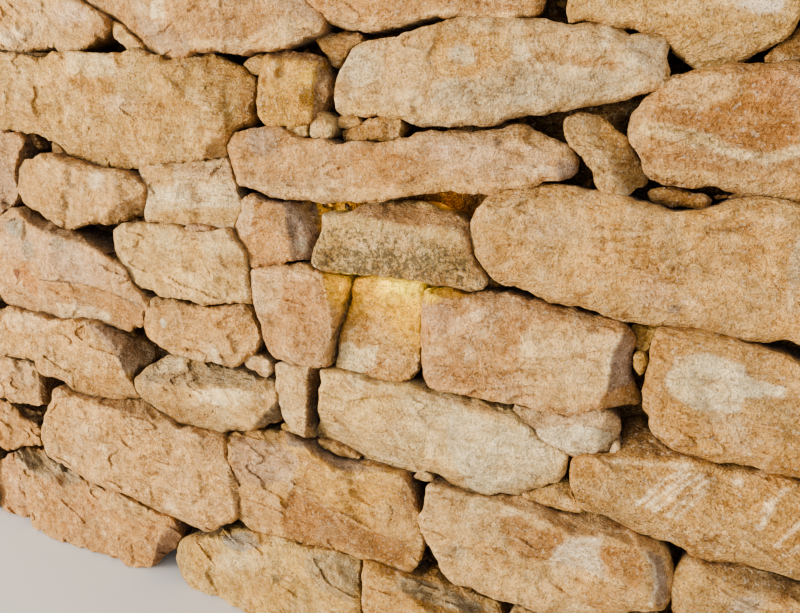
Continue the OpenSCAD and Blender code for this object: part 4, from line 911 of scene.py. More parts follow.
   m=[("p", "@97,400 158,408 160,420 140,420 100,408", "168,118,74", .6, 5), ("p", "@196,432 226,442 226,462 206,452", "172,124,82", .55, 6), ("e@", 90, 420, 26, 12, 10, "228,196,152", .5), ("e@", 60, 430, 12, 20, 0, "202,152,98", .5), ("e@", 180, 470, 40, 16, 20, "218,180,134", .4), ("e@", 190, 512, 40, 9, 20, "222,184,132", .5)]),
  dict(o="-86,340 -75,348 -55,354 -30,360 -5,366 15,372 35,376 55,374 80,366 105,358 135,352 165,350 195,353 215,357 240,357 262,356 272,345 276,330 282,315 292,303 296,290 290,275 296,262 302,250 303,235 300,220 294,207 288,196 280,186 262,180 240,178 215,181 190,180 165,180 140,179 115,176 95,172 70,168 50,170 25,169 12,165 0,163 -20,164 -40,164 -55,167 -66,178 -72,192 -73,208 -70,222 -66,238 -62,248 -70,256 -80,268 -87,282 -91,300 -91,318",
   p=28, c="206,158,100", c2="222,184,130", c3="188,136,88", ro=1.1, f=[("@250,446 268,446 304,448 334,472 400,474", .75), ("@286,536 236,510", .35), ("@236,510 230,450", .35), ("@404,540 330,520", .25)],
   l=[("@400,540 366,528 332,514 312,498 294,490 280,510", 5.0, 4), ("@420,512 404,510", 4.0, 3)],
   k=[("@383,498 394,510 390,526", 1.8, 4.0), ("@262,448 284,460 300,464", 2.0, 2.5)],
   m=[("p", "@284,430 304,434 336,446 362,462 372,472 340,470 318,456 288,446", "172,148,128", .9, 3), ("e@", 326, 444, 14, 6, 20, "126,86,56", .5), ("v", "@264,447 286,448 306,451 328,468 356,478 396,474", 5.5, "222,176,104", .9), ("p", "@230,434 284,446 300,464 284,480 262,486 236,482", "190,156,128", .75, 7),
      ("p", "@278,513 293,492 314,500 332,515 367,530 404,541 404,566 372,556 332,543 286,536", "184,130,84", .85, 4), ("p", "@306,470 340,480 400,482 396,500 376,520 340,510 312,494", "214,164,96", .6, 7), ("p", "@240,496 272,490 280,510 270,530 244,516", "212,172,126", .6, 6), ("e@", 378, 516, 10, 9, 0, "226,188,132", .7), ("p", "@404,470 420,476 424,500 410,520 400,500", "160,112,76", .6, 4)]),
  dict(o="302,338 306,346 325,350 350,350 370,349 388,349 405,353 425,358 445,361 470,361 495,359 520,361 538,367 550,369 570,367 590,360 608,354 625,352 638,350 648,335 653,318 656,300 656,280 653,262 645,250 630,244 600,225 560,205 520,195 500,190 480,188 460,191 440,186 420,185 400,189 380,190 360,188 345,192 335,202 328,215 322,228 315,240 305,252 298,262 292,275 292,285 298,295 300,310 299,325",
   p=30, c="210,174,124", c2="228,202,156", c3="184,136,88", ro=1.2, f=[("@484,500 530,512 574,538 604,536 646,550", .7), ("@646,550 652,600", .6), ("@640,606 520,604", .3), ("@430,560 420,520", .4)],
   m=[("p", "@484,496 530,498 580,512 618,520 650,538 666,556 640,550 604,536 572,538 540,520", "190,146,104", .7, 4), ("p", "@497,518 524,514 530,528 560,532 570,548 548,560 520,558 506,540", "184,128,80", .85, 4), ("p", "@572,538 600,538 602,556 606,580 584,570 560,562 552,550", "222,206,188", .8, 5), ("p", "@602,544 640,552 646,580 636,590 612,574 600,558", "188,130,80", .8, 5), ("p", "@646,550 666,560 668,604 654,608 656,574", "166,144,130", .8, 3), ("v", "@644,552 654,566 656,590 650,604", 2.6, "228,214,198", .8),
      ("p", "@424,500 470,508 484,520 470,540 440,530", "222,186,134", .5, 7), ("e@", 456, 552, 12, 8, 0, "186,164,134", .5), ("e@", 510, 582, 30, 12, 0, "220,192,142", .5), ("e@", 600, 596, 30, 9, 10, "196,148,98", .5)],
   l=[("@646,588 610,574 580,566 560,556", 3.5, 3)]),
  dict(o="664,330 672,338 684,341 697,338 710,342 728,347 750,349 770,348 790,345 830,345 870,335 876,280 870,220 845,202 700,200 672,215 662,240 658,262 656,285 658,305 661,320",
   p=26, c="206,164,108", c2="216,180,132", c3="176,136,92", s=(-8, 120, 9), band=.4, f=[("@700,566 800,606", .5), ("@682,600 690,566", .5)],
   m=[("p", "@706,558 800,580 800,604 740,588 700,572", "150,114,80", .6, 5), ("e@", 748, 606, 22, 8, 20, "204,184,160", .7), ("e@", 690, 590, 12, 18, 0, "208,160,96", .6)]),
  dict(o="-800,284 -745,280 -715,279 -700,276 -690,268 -672,262 -650,256 -628,250 -618,243 -612,232 -622,220 -618,206 -613,199 -635,196 -660,190 -685,182 -705,172 -725,164 -745,158 -765,160 -800,170",
   p=18, c="196,142,90", c2="208,162,112", c3="176,124,78", f=[("@12,414 44,432", .4)], m=[("p", "@16,405 46,406 44,428 24,420", "146,108,78", .6, 4), ("e@", 28, 440, 10, 7, 0, "206,150,92", .5)]),
 ],
 "front_course_1": [
  dict(o="197,178 215,182 240,180 262,176 285,180 300,186 318,205 325,212 335,198 348,188 370,186 400,186 430,182 440,160 442,120 436,60 430,0 200,0 196,50 194,80 192,110 193,145 194,165",
   p=22, c="208,160,100", c2="220,184,138", c3="190,140,88", ground=True, f=[("@366,566 420,606", .4)], m=[("p", "@396,576 440,584 486,608 470,613 420,600 396,590", "196,176,146", .8, 5), ("e@", 376, 596, 10, 14, 0, "214,164,100", .5), ("e@", 420, 606, 12, 6, 0, "206,150,82", .5)]),
  dict(o="-228,28 -231,45 -230,62 -222,80 -212,92 -200,100 -180,104 -162,108 -145,115 -130,122 -118,132 -105,142 -92,150 -80,157 -68,165 -55,164 -40,162 -20,163 0,164 20,168 45,168 70,166 95,170 115,175 140,178 165,178 188,178 192,165 190,150 188,130 190,110 192,90 188,60 186,0 -205,0 -218,12",
   p=26, c="212,180,118", c2="226,200,148", c3="192,156,98", ground=True, ro=1.15, s=(-20, 100, 12), band=.3, f=[("@212,540 260,546", .55), ("@260,546 350,560", .4), ("@184,566 200,540", .5), ("@330,556 352,610", .3)],
   m=[("p", "@222,536 250,532 262,546 244,552 226,548", "170,156,142", .8, 4), ("p", "@306,552 350,556 360,580 350,604 320,590 304,570", "186,168,138", .65, 7), ("e@", 240, 562, 30, 8, 0, "228,204,160", .6), ("e@", 196, 556, 10, 10, 0, "220,180,112", .6), ("e@", 276, 578, 5, 4, 0, "120,100,70", .6), ("e@", 280, 596, 30, 10, 20, "204,166,100", .5)]),
  dict(o="-727,150 -718,160 -700,168 -680,178 -660,185 -635,190 -612,192 -606,180 -592,172 -572,169 -553,170 -545,162 -525,160 -505,159 -492,152 -470,148 -440,147 -410,146 -385,147 -365,146 -345,140 -320,136 -295,134 -272,130 -252,128 -238,128 -225,115 -212,100 -218,88 -228,72 -240,58 -252,42 -262,28 -275,15 -290,4 -300,0 -690,0 -692,30 -696,50 -700,70 -706,88 -712,105 -718,122 -724,138",
   p=24, c="202,150,102", c2="210,170,124", c3="184,132,92", ground=True, s=(-6, 110, 10), band=.35, sa=1.3, f=[("@16,456 34,474 60,486 84,488 160,512", .35), ("@180,514 176,522 156,542 148,568", .65)],
   m=[("p", "@14,450 44,452 70,468 84,482 60,486 34,474 18,462", "190,168,138", .8, 5), ("p", "@148,568 156,542 176,520 192,527 170,552", "170,126,100", .8, 3), ("p", "@84,484 150,506 160,520 130,520 96,500", "204,174,126", .6, 7), ("e@", 56, 484, 12, 6, 20, "190,124,74", .6), ("e@", 80, 508, 30, 8, 20, "206,142,92", .5), ("e@", 130, 532, 18, 9, 20, "210,166,118", .5), ("v", "@62,470 74,476 84,480", 3.0, "110,80,54", .6)]),
  dict(o="-800,108 -775,122 -755,134 -740,146 -729,148 -722,135 -716,118 -709,100 -702,82 -697,62 -694,40 -692,0 -800,0", p=16, c="202,150,108", c2="210,168,126", c3="184,132,92", ground=True),
  dict(o="448,178 470,184 500,186 530,190 560,198 600,215 630,235 646,240 652,200 652,120 648,0 440,0 444,100 446,150", p=22, c="208,166,112", ground=True),
  dict(o="660,196 700,196 845,196 880,190 884,100 878,0 658,0 660,100", p=20, c="206,158,104", ground=True),
  dict(o="892,190 945,186 952,120 950,0 888,0 890,100", p=14, c="212,176,124", ground=True),
 ],
 "niche_lintel": [
  dict(o="113,748 118,752 135,753 155,753 168,758 182,767 200,771 225,774 250,777 270,776 290,772 310,767 330,762 345,757 352,748 353,735 351,720 356,707 366,698 376,688 383,675 382,665 372,657 355,653 335,656 310,658 285,659 255,660 225,660 195,661 165,660 140,658 118,657 100,662 92,672 94,684 101,698 108,712 112,728 113,742",
   p=24, c="206,178,128", c2="218,194,146", c3="188,156,106", ro=1.5, grow=-1.0, rag=.7, f=[("@344,212 400,222", .55), ("@400,222 456,226", .75), ("@456,226 472,250", .6), ("@472,250 484,284", .6), ("@316,262 322,214", .35)],
   # the 188,142,104 patch is painted shade on the top facet and the 172,138,104 patch painted shade on the right facet
   m=[("p", "@344,204 400,203 462,212 456,228 400,226 350,212", "188,142,104", .75, 4), ("p", "@456,226 470,214 474,250 486,286 474,282 464,250", "172,138,104", .7, 4), ("d", "@314,222 400,230 468,248 486,284 474,292 400,282 308,272", "104,88,56", .62, 7.0, 0), ("d", "@310,246 380,244 440,254 470,282 400,284 310,274", "84,72,46", .82, 5.5, 0), ("e@", 386, 240, 26, 10, 0, "216,184,140", .35)], depths=(5, 12, 22, 34, 46)),
 ],
 "niche_left_jamb": [
  dict(o="-26,645 -20,652 -5,656 20,661 45,666 70,670 88,668 96,661 110,656 135,655 160,654 163,645 158,632 152,618 146,602 140,585 134,568 129,550 128,535 130,520 129,510 120,507 100,504 75,502 50,501 32,503 18,508 8,518 0,530 -4,545 -8,562 -16,578 -21,592 -22,610 -25,628",
   p=22, c="206,158,114", c2="220,182,142", c3="192,142,100", am=.8, ro=.9, f=[("@322,268 323,272 327,300 331,330 328,368", .75, 2), ("@256,270 324,278", .25), ("@258,330 254,290", .3)],
   # the yellow 236,178,0 spot at the top of the right facet is a painted pool of lamp light
   m=[("p", "@252,270 284,270 282,296 276,312 258,312 252,290", "226,194,154", .7, 6), ("p", "@284,282 322,282 326,330 320,362 290,350 276,330", "202,150,106", .6, 7), ("p", "@278,268 322,272 322,280 284,280", "228,196,156", .6, 4), ("e@", 338, 284, 13, 20, 0, "236,178,0", 1.0, .6), ("p", "@326,306 342,308 338,340 330,368 326,340", "206,166,126", .7, 3)],
   k=[("@322,282 326,306 330,336", 1.2, 1.2)]),
 ],
 "niche_right_jamb": [
  dict(o="288,650 300,648 315,651 335,652 355,651 375,654 395,656 415,655 440,652 465,650 490,647 515,645 540,642 560,638 570,628 574,612 575,595 577,575 582,558 590,545 588,535 572,530 552,524 535,517 520,508 500,499 480,498 460,500 435,502 410,502 385,501 360,501 340,504 318,504 300,505 294,515 290,530 288,550 285,570 284,590 284,610 286,630",
   p=28, c="204,152,108", c2="216,176,134", c3="190,138,96", f=[("@434,298 520,306", .75), ("@520,306 618,328", .75), ("@624,326 621,332 609,358 606,392 600,404", .7, 3), ("@600,404 470,394", .25), ("@424,380 426,304", .45)],
   b=[(310, 625, 40, 34, 0, 7), (430, 580, 90, 46, 0, 4)],
   # the 176,152,138 patch is painted shade on the right facet, and the 168,126,88 strip with the 150,100,60 spot
   # painted shade on the top facet under the stone above
   m=[("p", "@530,324 560,326 600,334 620,330 610,356 606,388 590,404 556,408 524,392 518,352", "224,194,148", .75, 8), ("e@", 534, 346, 16, 14, 0, "230,206,168", .6), ("p", "@622,330 633,338 636,380 608,394 608,362", "176,152,138", .9, 3), ("v", "@622,330 610,356 606,388", 3.2, "234,212,180", .85), ("p", "@524,306 600,318 632,328 630,336 600,328 540,316", "168,126,88", .6, 4), ("e@", 592, 330, 8, 4, 0, "150,100,60", .7),
      # the yellow 255,214,0 and 242,176,60 spots at the top left are a painted pool of lamp light
      ("p", "@428,340 444,322 488,306 492,312 464,328 440,342", "226,192,156", .8, 3), ("e@", 440, 318, 14, 16, 0, "196,160,138", .7), ("e@", 436, 350, 9, 7, 0, "224,190,150", .6), ("p", "@596,404 640,398 638,384 614,396", "206,150,96", .6, 4), ("p", "@424,386 470,396 520,410 560,414 540,408 480,390", "220,178,130", .5, 4), ("e@", 431, 293, 9, 9, 0, "255,214,0", .95, .6), ("e@", 452, 293, 16, 4, -4, "242,176,60", .75, .7)],
   k=[("@430,338 452,322 480,314", 1.2, 1.4)]),
 ],
 "niche_stone": [
  dict(o="176,655 190,657 210,658 235,658 260,658 284,657 287,645 286,625 283,605 284,585 285,565 285,545 281,525 272,516 262,508 252,501 235,497 215,495 190,497 165,499 152,502 142,507 142,520 144,540 149,560 155,582 161,602 167,622 172,640",
   # the yellow 228,164,0, 240,176,0 and 240,214,0 patches are a painted pool of lamp light below the lintel
   p=-10, t=(.02, -.20), c="210,160,106", c2="218,176,124", c3="196,144,92", g=1.0, am=.55, te=.3, ro=1.2, r=5, d=6, m=[("e@", 366, 290, 28, 20, 0, "228,164,0", .86, .9), ("e@", 410, 308, 22, 30, 0, "240,176,0", .88, .9), ("e@", 402, 284, 28, 13, 0, "240,214,0", 1.0, .7), ("p", "@334,346 350,342 360,350 378,346 374,366 352,380 336,374", "232,210,170", .8, 4), ("e@", 396, 362, 12, 10, 0, "216,166,112", .5)], depths=(5, 14, 28, 48)),
 ],
}
# small stones and wedges pushed into the gaps
PINS = [
 dict(o="-302,1046 -290,1040 -275,1032 -262,1022 -248,1010 -234,1001 -250,999 -268,1000 -285,1010 -297,1025", p=6, c="224,184,120", d=8, r=7),
 dict(o="672,942 690,940 712,940 725,957 712,975 700,968 688,962", p=2, c="166,126,82", ro=1.5, d=8),
 dict(o="706,942 760,938 800,940 810,962 780,966 730,962", p=4, c="158,118,76", ro=1.6, d=10),
 dict(o="-484,848 -470,846 -455,838 -444,826 -460,823 -478,824 -487,832", p=-14, c="158,112,68", d=8, r=6),
 dict(o="104,1000 118,1004 132,1002 150,1000 175,998 182,992 165,982 152,970 142,958 132,962 128,975 112,984", p=2, c="188,140,90", ro=1.5, d=8, r=6),
 dict(o="-30,966 -12,976 10,978 18,970 8,955 -2,950", p=0, c="200,160,108", ro=1.4, d=8, r=6),
 dict(o="48,870 60,882 85,886 92,880 90,864 70,860 52,864", p=16, c="226,200,150", ro=1.5, d=9, r=6, am=.5),
 dict(o="94,862 92,878 100,886 120,892 134,886 138,872 130,860 110,857", p=18, c="230,206,158", ro=1.6, d=10, r=8, am=.5),
 dict(o="138,888 150,892 175,891 185,880 165,872 145,874", p=8, c="206,168,112", ro=1.5, d=8, r=6, am=.5),
 dict(o="150,870 185,878 215,890 235,886 252,874 245,862 215,856 180,855 155,858", p=6, c="192,146,94", ro=1.6, d=9, r=7),
 dict(o="466,874 470,886 482,891 498,889 512,882 526,871 538,860 545,850 556,842 562,832 568,822 566,810 555,803 546,797 541,789 532,791 522,796 516,806 508,818 498,828 488,838 480,850 470,862",
  p=24, c="206,166,114", c2="220,184,134", c3="188,142,88", f=[("@604,118 614,146", .5, 3), ("@614,146 618,176", .8, 3), ("@618,176 620,198", .8, 3), ("@566,124 590,150", .3)], b=[(528, 808, 12, 18, 0, 5)],
  # the 190,140,84 patch is painted shade on the right side of the wedge
  m=[("p", "@616,146 640,168 640,184 622,190 618,160", "190,140,84", .7, 4), ("p", "@566,122 590,112 604,124 600,140 576,140", "214,178,130", .6, 5), ("p", "@590,152 612,148 612,168 602,166", "224,188,142", .6, 4)]),
 dict(o="-552,866 -532,864 -520,850 -512,840 -525,836 -540,845 -550,855", p=-8, c="150,104,64", d=7, r=6),
 dict(o="-170,705 -150,715 -120,716 -90,714 -66,713 -85,709 -110,705 -140,703", p=10, c="206,166,138", d=7, r=5, am=.5),
 dict(o="-45,487 -38,495 -28,502 -12,503 2,503 12,497 16,487 10,476 0,470 -15,469 -30,474", p=18, c="228,202,164", ro=1.7, d=10, r=8),
 dict(o="434,500 432,490 438,481 450,477 460,472 463,462 472,453 490,448 505,446 520,445 535,447 548,453 558,460 562,470 566,480 568,492 565,503 563,513 553,519 540,519 525,514 512,506 500,500 480,497 458,498",
  p=24, c="216,184,146", c2="228,202,170", c3="204,166,124", r=6, d=12, ro=1.4, l=[("@614,432 590,426 560,428 534,432", -5.0, 2.5)], m=[("p", "@536,430 560,427 590,426 614,434 612,450 580,456 556,448 538,440", "236,220,192", .85, 3), ("e@", 590, 446, 12, 6, 0, "240,226,200", .7)]),
 dict(o="561,461 563,474 570,481 574,472 573,462 567,458", p=14, c="228,202,164", d=6, r=5, am=.4),
 dict(o="572,632 580,638 600,640 602,625 597,610 590,602 580,606 575,618", p=-4, c="208,164,94", ro=1.8, d=8, r=7),
 dict(o="579,600 590,602 595,590 592,575 586,569 580,580", p=6, c="216,176,106", ro=1.4, d=8, r=6),
 dict(o="449,369 460,376 475,385 490,394 500,403 510,408 514,405 520,390 526,374 533,368 520,362 500,359 480,361 462,362", p=14, c="210,166,108", c2="222,186,134", r=7, d=9, f=[("@520,490 576,506", .35)]),
 dict(o="-695,272 -670,278 -640,282 -612,284 -606,270 -608,252 -625,254 -650,260 -675,265", p=-4, c="150,112,78", d=9, r=7),
 dict(o="30,384 52,388 78,382 82,372 60,378 38,380", p=4, c="206,156,88", ro=1.5, d=6, r=5),
 dict(o="106,376 130,376 150,374 170,368 184,360 160,356 136,358 112,364", p=4, c="198,156,104", ro=1.5, d=7, r=6),
 dict(o="278,352 290,366 304,368 316,362 312,352 298,350", p=8, c="230,206,158", d=7, r=6, am=.4),
 dict(o="318,360 340,356 372,350 384,346 360,352 330,352", p=2, c="198,160,98", d=6, r=4, ro=1.6),
 dict(o="572,800 596,804 620,800 640,792 628,784 600,786 580,792", p=2, c="172,124,80", ro=1.6, d=8, r=7),
 dict(o="640,796 662,800 690,803 716,800 700,796 668,794", p=-2, c="150,106,68", ro=1.6, d=7, r=5),
 dict(o="-60,488 -66,496 -58,504 -48,500 -48,490", p=4, c="196,150,100", d=6, r=5),
]
# stretches that the photograph's frame cuts off, in the same stones
FILL = {
 "front_course_5": [dict(o="772,796 860,800 1006,798 1010,860 1008,934 880,938 780,936 770,880", skip=True), dict(o="-1010,696 -712,708 -706,865 -1010,864"), dict(o="874,636 945,634 944,786 878,788")],
 "front_course_8": [dict(o="-1012,1016 -830,1014 -660,1022 -652,1040 -648,1150 -1010,1150"), dict(o="892,1048 1012,1050 1010,1150 890,1150")],
 "front_course_7": [dict(o="888,944 945,942 946,1042 892,1042")],
 "front_course_6": [dict(o="-928,872 -700,876 -697,1006 -926,1008"), dict(o="882,800 1006,798 1010,860 1008,934 886,934 888,870")],
 "front_course_4": [dict(o="-922,512 -745,512 -752,600 -742,682 -920,688"), dict(o="874,490 1010,484 1008,560 1010,628 868,634 872,590 878,560")],
 "front_course_3": [dict(o="-1010,404 -748,402 -745,470 -742,494 -1008,500"), dict(o="-922,302 -808,296 -806,388 -920,396"), dict(o="878,348 936,344 936,476 872,478 868,446 878,400")],
 "front_course_2": [dict(o="-1012,174 -808,170 -806,284 -1010,292"), dict(o="884,200 1010,196 1010,270 1006,338 880,340 882,280")],
 "front_course_1": [dict(o="-928,0 -808,0 -806,110 -800,160 -926,165", ground=True)],
}
QUOINS = {
 "left_end_quoins": [(-1200, a, z0, z1) for z0, z1, a in ((0, 168, -935), (172, 298, -1018), (302, 398, -928), (402, 504, -1018), (508, 690, -930), (694, 866, -1018), (870, 1010, -935), (1014, 1150, -1018))],
 "right_end_quoins": [(a, 1200, z0, z1) for z0, z1, a in ((0, 190, 960), (194, 340, 1018), (344, 464, 942), (468, 628, 1018), (632, 794, 952), (798, 936, 1018), (940, 1046, 952), (1050, 1150, 1018))],
}
CAPS = [(-1195, -905, 118, -4), (-898, -640, 132, 3), (-633, -330, 124, -2), (-323, -60, 130, 4), (-53, 245, 126, -3), (252, 530, 132, 2), (537, 800, 120, -4), (807, 1195, 128, 3)]
TONES = ["208,164,112", "214,178,128", "204,156,104", "220,190,144", "200,150,100", "212,172,118", "206,162,116", "218,184,134"]


# ---------------------------------------------------------------- put the stones together
def auto_facets(poly, rs):
    """A few sloping edges for a stone whose own planes can't be read."""
    (x0, z0), (x1, z1) = poly.min(0), poly.max(0)
    w, h = x1 - x0, z1 - z0
    r = lambda a, b: rs.uniform(a, b)
    out = []
    if rs.rand() < .85:
        out.append(([(x0 + .1 * w, z1 - h * r(.12, .3)), (x1 - .1 * w, z1 - h * r(.12, .3))], r(.35, .8)))
    if rs.rand() < .75:
        out.append(([(x1 - w * r(.06, .18), z1), (x1 - w * r(.06, .22), z0)], r(.35, .8)))
    if rs.rand() < .75:
        out.append(([(x1 - .1 * w, z0 + h * r(.1, .28)), (x0 + .1 * w, z0 + h * r(.1, .28))], r(.25, .5)))
    if rs.rand() < .7:
        out.append(([(x0 + w * r(.06, .16), z0), (x0 + w * r(.06, .18), z1)], r(.3, .6)))
    cx, cz, a = x0 + w * r(.3, .7), z0 + h * r(.35, .65), r(0, 2 * math.pi)
    out.append(([(cx, cz), (cx + 40 * math.cos(a), cz + 40 * math.sin(a))], r(.08, .2)))
    return out


def plain_stone(st, seed, tone=None):
    """The same outline with planes and patches of its own."""
    rs = np.random.RandomState(seed * 7 + 5)
    poly = pts(st["o"])
    (x0, z0), (x1, z1) = poly.min(0), poly.max(0)
    new = dict(o=st["o"], p=float(rs.uniform(16, 26)), c=TONES[rs.randint(len(TONES))] if tone is None else tone,
               c2=("226,198,154", "218,182,136", "214,172,120", "222,190,150")[rs.randint(4)],
               c3=("184,134,86", "192,148,100", "178,130,92")[rs.randint(3)],
               s=(float(rs.uniform(-14, 14)), 110.0, float(rs.uniform(8, 14))), sa=float(rs.uniform(.8, 1.5)),
               ro=float(rs.uniform(.9, 1.4)), f=auto_facets(poly, rs), am=1.0)
    new["m"] = []
    for _ in range(rs.randint(2, 5)):
        mx, mz = rs.uniform(x0, x1), rs.uniform(z0, z1)
        tone2 = ("232,210,174", "190,138,88", "178,150,128", "220,186,136", "206,150,98")[rs.randint(5)]
        new["m"].append(("e", mx, mz, rs.uniform(18, 60), rs.uniform(10, 28), rs.uniform(-25, 25), tone2, rs.uniform(.35, .75)))
    if st.get("ground"):
        new["ground"] = True
    return new


STEP, STEP_FILL, STEP_BACK = 3.6, 7.0, 8.0
materials = {k: stone_material(k, *v) for k, v in {
    "sandstone": (1.0, 1.0), "pinning_stone": (1.15, 0.98), "cap_sandstone": (1.0, 1.0), "rubble": (1.5, 0.8)}.items()}


def finish_piece(o, nodes):
    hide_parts(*nodes)
    return o


seed = 100
for node, stones in FRONT.items():
    bag = Bag()
    for st in stones:
        seed += 7
        make_stone(bag, st, -1, 2.7 if node.startswith("niche") else STEP, seed)
    for st in FILL.get(node, ()):
        seed += 7
        if not st.get("skip"):
            make_stone(bag, dict(plain_stone(st, seed), rag=1.9), -1, STEP_FILL, seed)
    finish_piece(bag.build(node + "_stones", materials["sandstone"]), [node])

bag = Bag()
for st in PINS:
    seed += 7
    q = dict({"depths": (3.5, 9, 18, 30, 44), "c2": "222,186,134", "c3": "184,136,88"}, **st)
    if "f" not in st:
        q["f"] = auto_facets(pts(st["o"]), np.random.RandomState(seed))
    q.update(r=2.0, d=2.4, am=.6, bev=14.0, rag=1.3, fs=32.0)
    make_stone(bag, q, -1, 3.0, seed)
finish_piece(bag.build("front_pinnings_stones", materials["pinning_stone"]), ["front_pinnings"])

seed = 5000
for node in [n for n in FRONT if n.startswith("front_")]:
    bag = Bag()
    for st in FRONT[node] + FILL.get(node, []):
        seed += 7
        if not st.get("skip"):
            make_stone(bag, plain_stone(st, seed), 1, STEP_BACK, seed)
    back = node.replace("front", "back")
    finish_piece(bag.build(back + "_stones", materials["sandstone"]), [back])
bag = Bag()
for node in [n for n in FRONT if n.startswith("niche_")]:
    seed += 7
    make_stone(bag, plain_stone(FRONT[node][0], seed), 1, STEP_BACK, seed)
finish_piece(bag.build("back_filler_stones_mesh", materials["sandstone"]), ["back_filler_stones"])
bag = Bag()
for st in PINS:
    seed += 7
    q = plain_stone(st, seed)
    q.update(p=4.0, f=[], depths=(4, 12, 26, 40), d=8, r=7, m=[])
    make_stone(bag, q, 1, STEP_BACK * .8, seed)
finish_piece(bag.build("back_pinnings_stones", materials["pinning_stone"]), ["back_pinnings"])

for name, rows in QUOINS.items():
    bag = Bag()
    for k, (x0, x1, z0, z1) in enumerate(rows):
        seed += 7
        y = 268 - BATTER * z0
        t = TONES[(k * 3 + (0 if x0 < 0 else 4)) % len(TONES)]
        make_block(bag, (x0 + 3, -y, z0 + 1), (x1 - 3, y, z1 - 2), seed, t, step=11.0, batter=(BATTER, BATTER, 0, 0), skew=8.0, r=6, am=1.3, flat_bottom=z0 < 1, hew=14, deep=20.0)
    # what shows in the joints between them
    s = -1 if rows[0][0] < 0 else 1
    make_block(bag, (min(s * 1172, s * 950), -226, 0.5), (max(s * 1172, s * 950), 226, 1140), 5, "126,100,76", step=40.0, batter=(BATTER, BATTER, 0, 0), r=4, am=.3, flat_bottom=True)
    finish_piece(bag.build(name + "_stones", materials["sandstone"]), [name])

bag = Bag()
for k, (x0, x1, hh, sh) in enumerate(CAPS):
    seed += 7
    make_block(bag, (x0, -208 + sh, 1154), (x1, 208 + sh, 1156 + hh), seed, TONES[(k * 5 + 3) % len(TONES)], step=11.0, skew=9.0, r=6, am=1.5, hew=16, deep=26.0, seat=True)
finish_piece(bag.build("capstones_stones", materials["cap_sandstone"]), ["capstones"])


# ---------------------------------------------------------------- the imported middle, seen only in the gaps
def lumps(p, size, seed):
    """Rounded rubble: height 0 to 1 of the nearest stone of a loose pattern."""
    u, v = p[:, 0] / size, p[:, 1] / size
    iu, iv = np.floor(u).astype(np.int64), np.floor(v).astype(np.int64)
    best = np.full(len(p), 9.0)
    tone = np.zeros(len(p))
    for a in (-1, 0, 1):
        for b in (-1, 0, 1):
            cu, cv = iu + a, iv + b
            zero = np.zeros_like(cu)
            r = [(_hash(cu, cv, zero + k, seed).astype(np.float64) / 4294967295.0) for k in range(4)]
            d = np.hypot((u - cu - r[0]) * (.8 + .5 * r[2]), (v - cv - r[1]) * (1.2 - .3 * r[2]))
            tone = np.where(d < best, r[3], tone)
            best = np.minimum(best, d)
    return np.clip(1 - best * best * 1.4, 0, 1), tone


bag = Bag()
for side in (-1, 1):
    st = 11.5 if side < 0 else 18.0
    xs, zs = np.arange(-948, 972, st), np.arange(0, 1152, st)
    gx, gz = np.meshgrid(xs, zs)
    nz, nx = gx.shape
    x, z = gx.ravel(), gz.ravel()
    p2 = np.stack([x, z], 1)
    l1, t1 = lumps(p2, 46, 4 + side)
    l2, t2 = lumps(p2, 19, 14 + side)
    p3 = np.stack([x, np.full(len(x), 90.0 * side), z], 1)
    h = -74 + 15 * l1 + 6 * l2 + 3.0 * fbm(p3, 30, 3, .55, 3)
    y = side * (260 - BATTER * z + h)
    V = np.stack([x, y, z], 1)
    k = np.arange(nx * nz).reshape(nz, nx)
    a, b, c, d = k[:-1, :-1].ravel(), k[:-1, 1:].ravel(), k[1:, 1:].ravel(), k[1:, :-1].ravel()
    F = np.vstack([np.stack([a, b, c], 1), np.stack([a, c, d], 1)])
    if side > 0:
        F = F[:, [0, 2, 1]]
    col = np.repeat(lin("146,114,82")[None], len(V), 0)
    col += (lin("196,150,98") - col) * (.7 * smooth(.4, 1, t1))[:, None]
    # painted shade in the dips between the small lumps
    col += (lin("100,78,60") - col) * (.7 * smooth(.45, .0, l2))[:, None]
    bag.add(V, F, col, np.full(len(V), 1.0))
# its edges are closed by a plain inner block
make_block(bag, (-944, -174, 0.5), (968, 174, 1148), 3, "118,92,70", step=40.0, batter=(BATTER, BATTER, 0, 0), r=4, am=.3, flat_bottom=True)


def crumb(bag, c, r, seed, tone):
    me = ICO
    v = me[0].copy()
    rs = np.random.RandomState(seed)
    v = v * (1 + .22 * perlin(v * 1.6 + seed, seed))[:, None]
    for _ in range(7):  # broken off along planes
        n = rs.normal(size=3)
        n /= np.linalg.norm(n)
        v = v - np.outer(np.maximum(v @ n - rs.uniform(.35, .8), 0), n)
    v = v * rs.uniform(.8, 1.35, 3) * r
    cc = np.repeat(lin(tone)[None], len(v), 0) * (1 + .25 * perlin(v / r * 2 + seed, 3))[:, None]
    bag.add(v + c, me[1], cc, np.full(len(v), 1.0), seed)


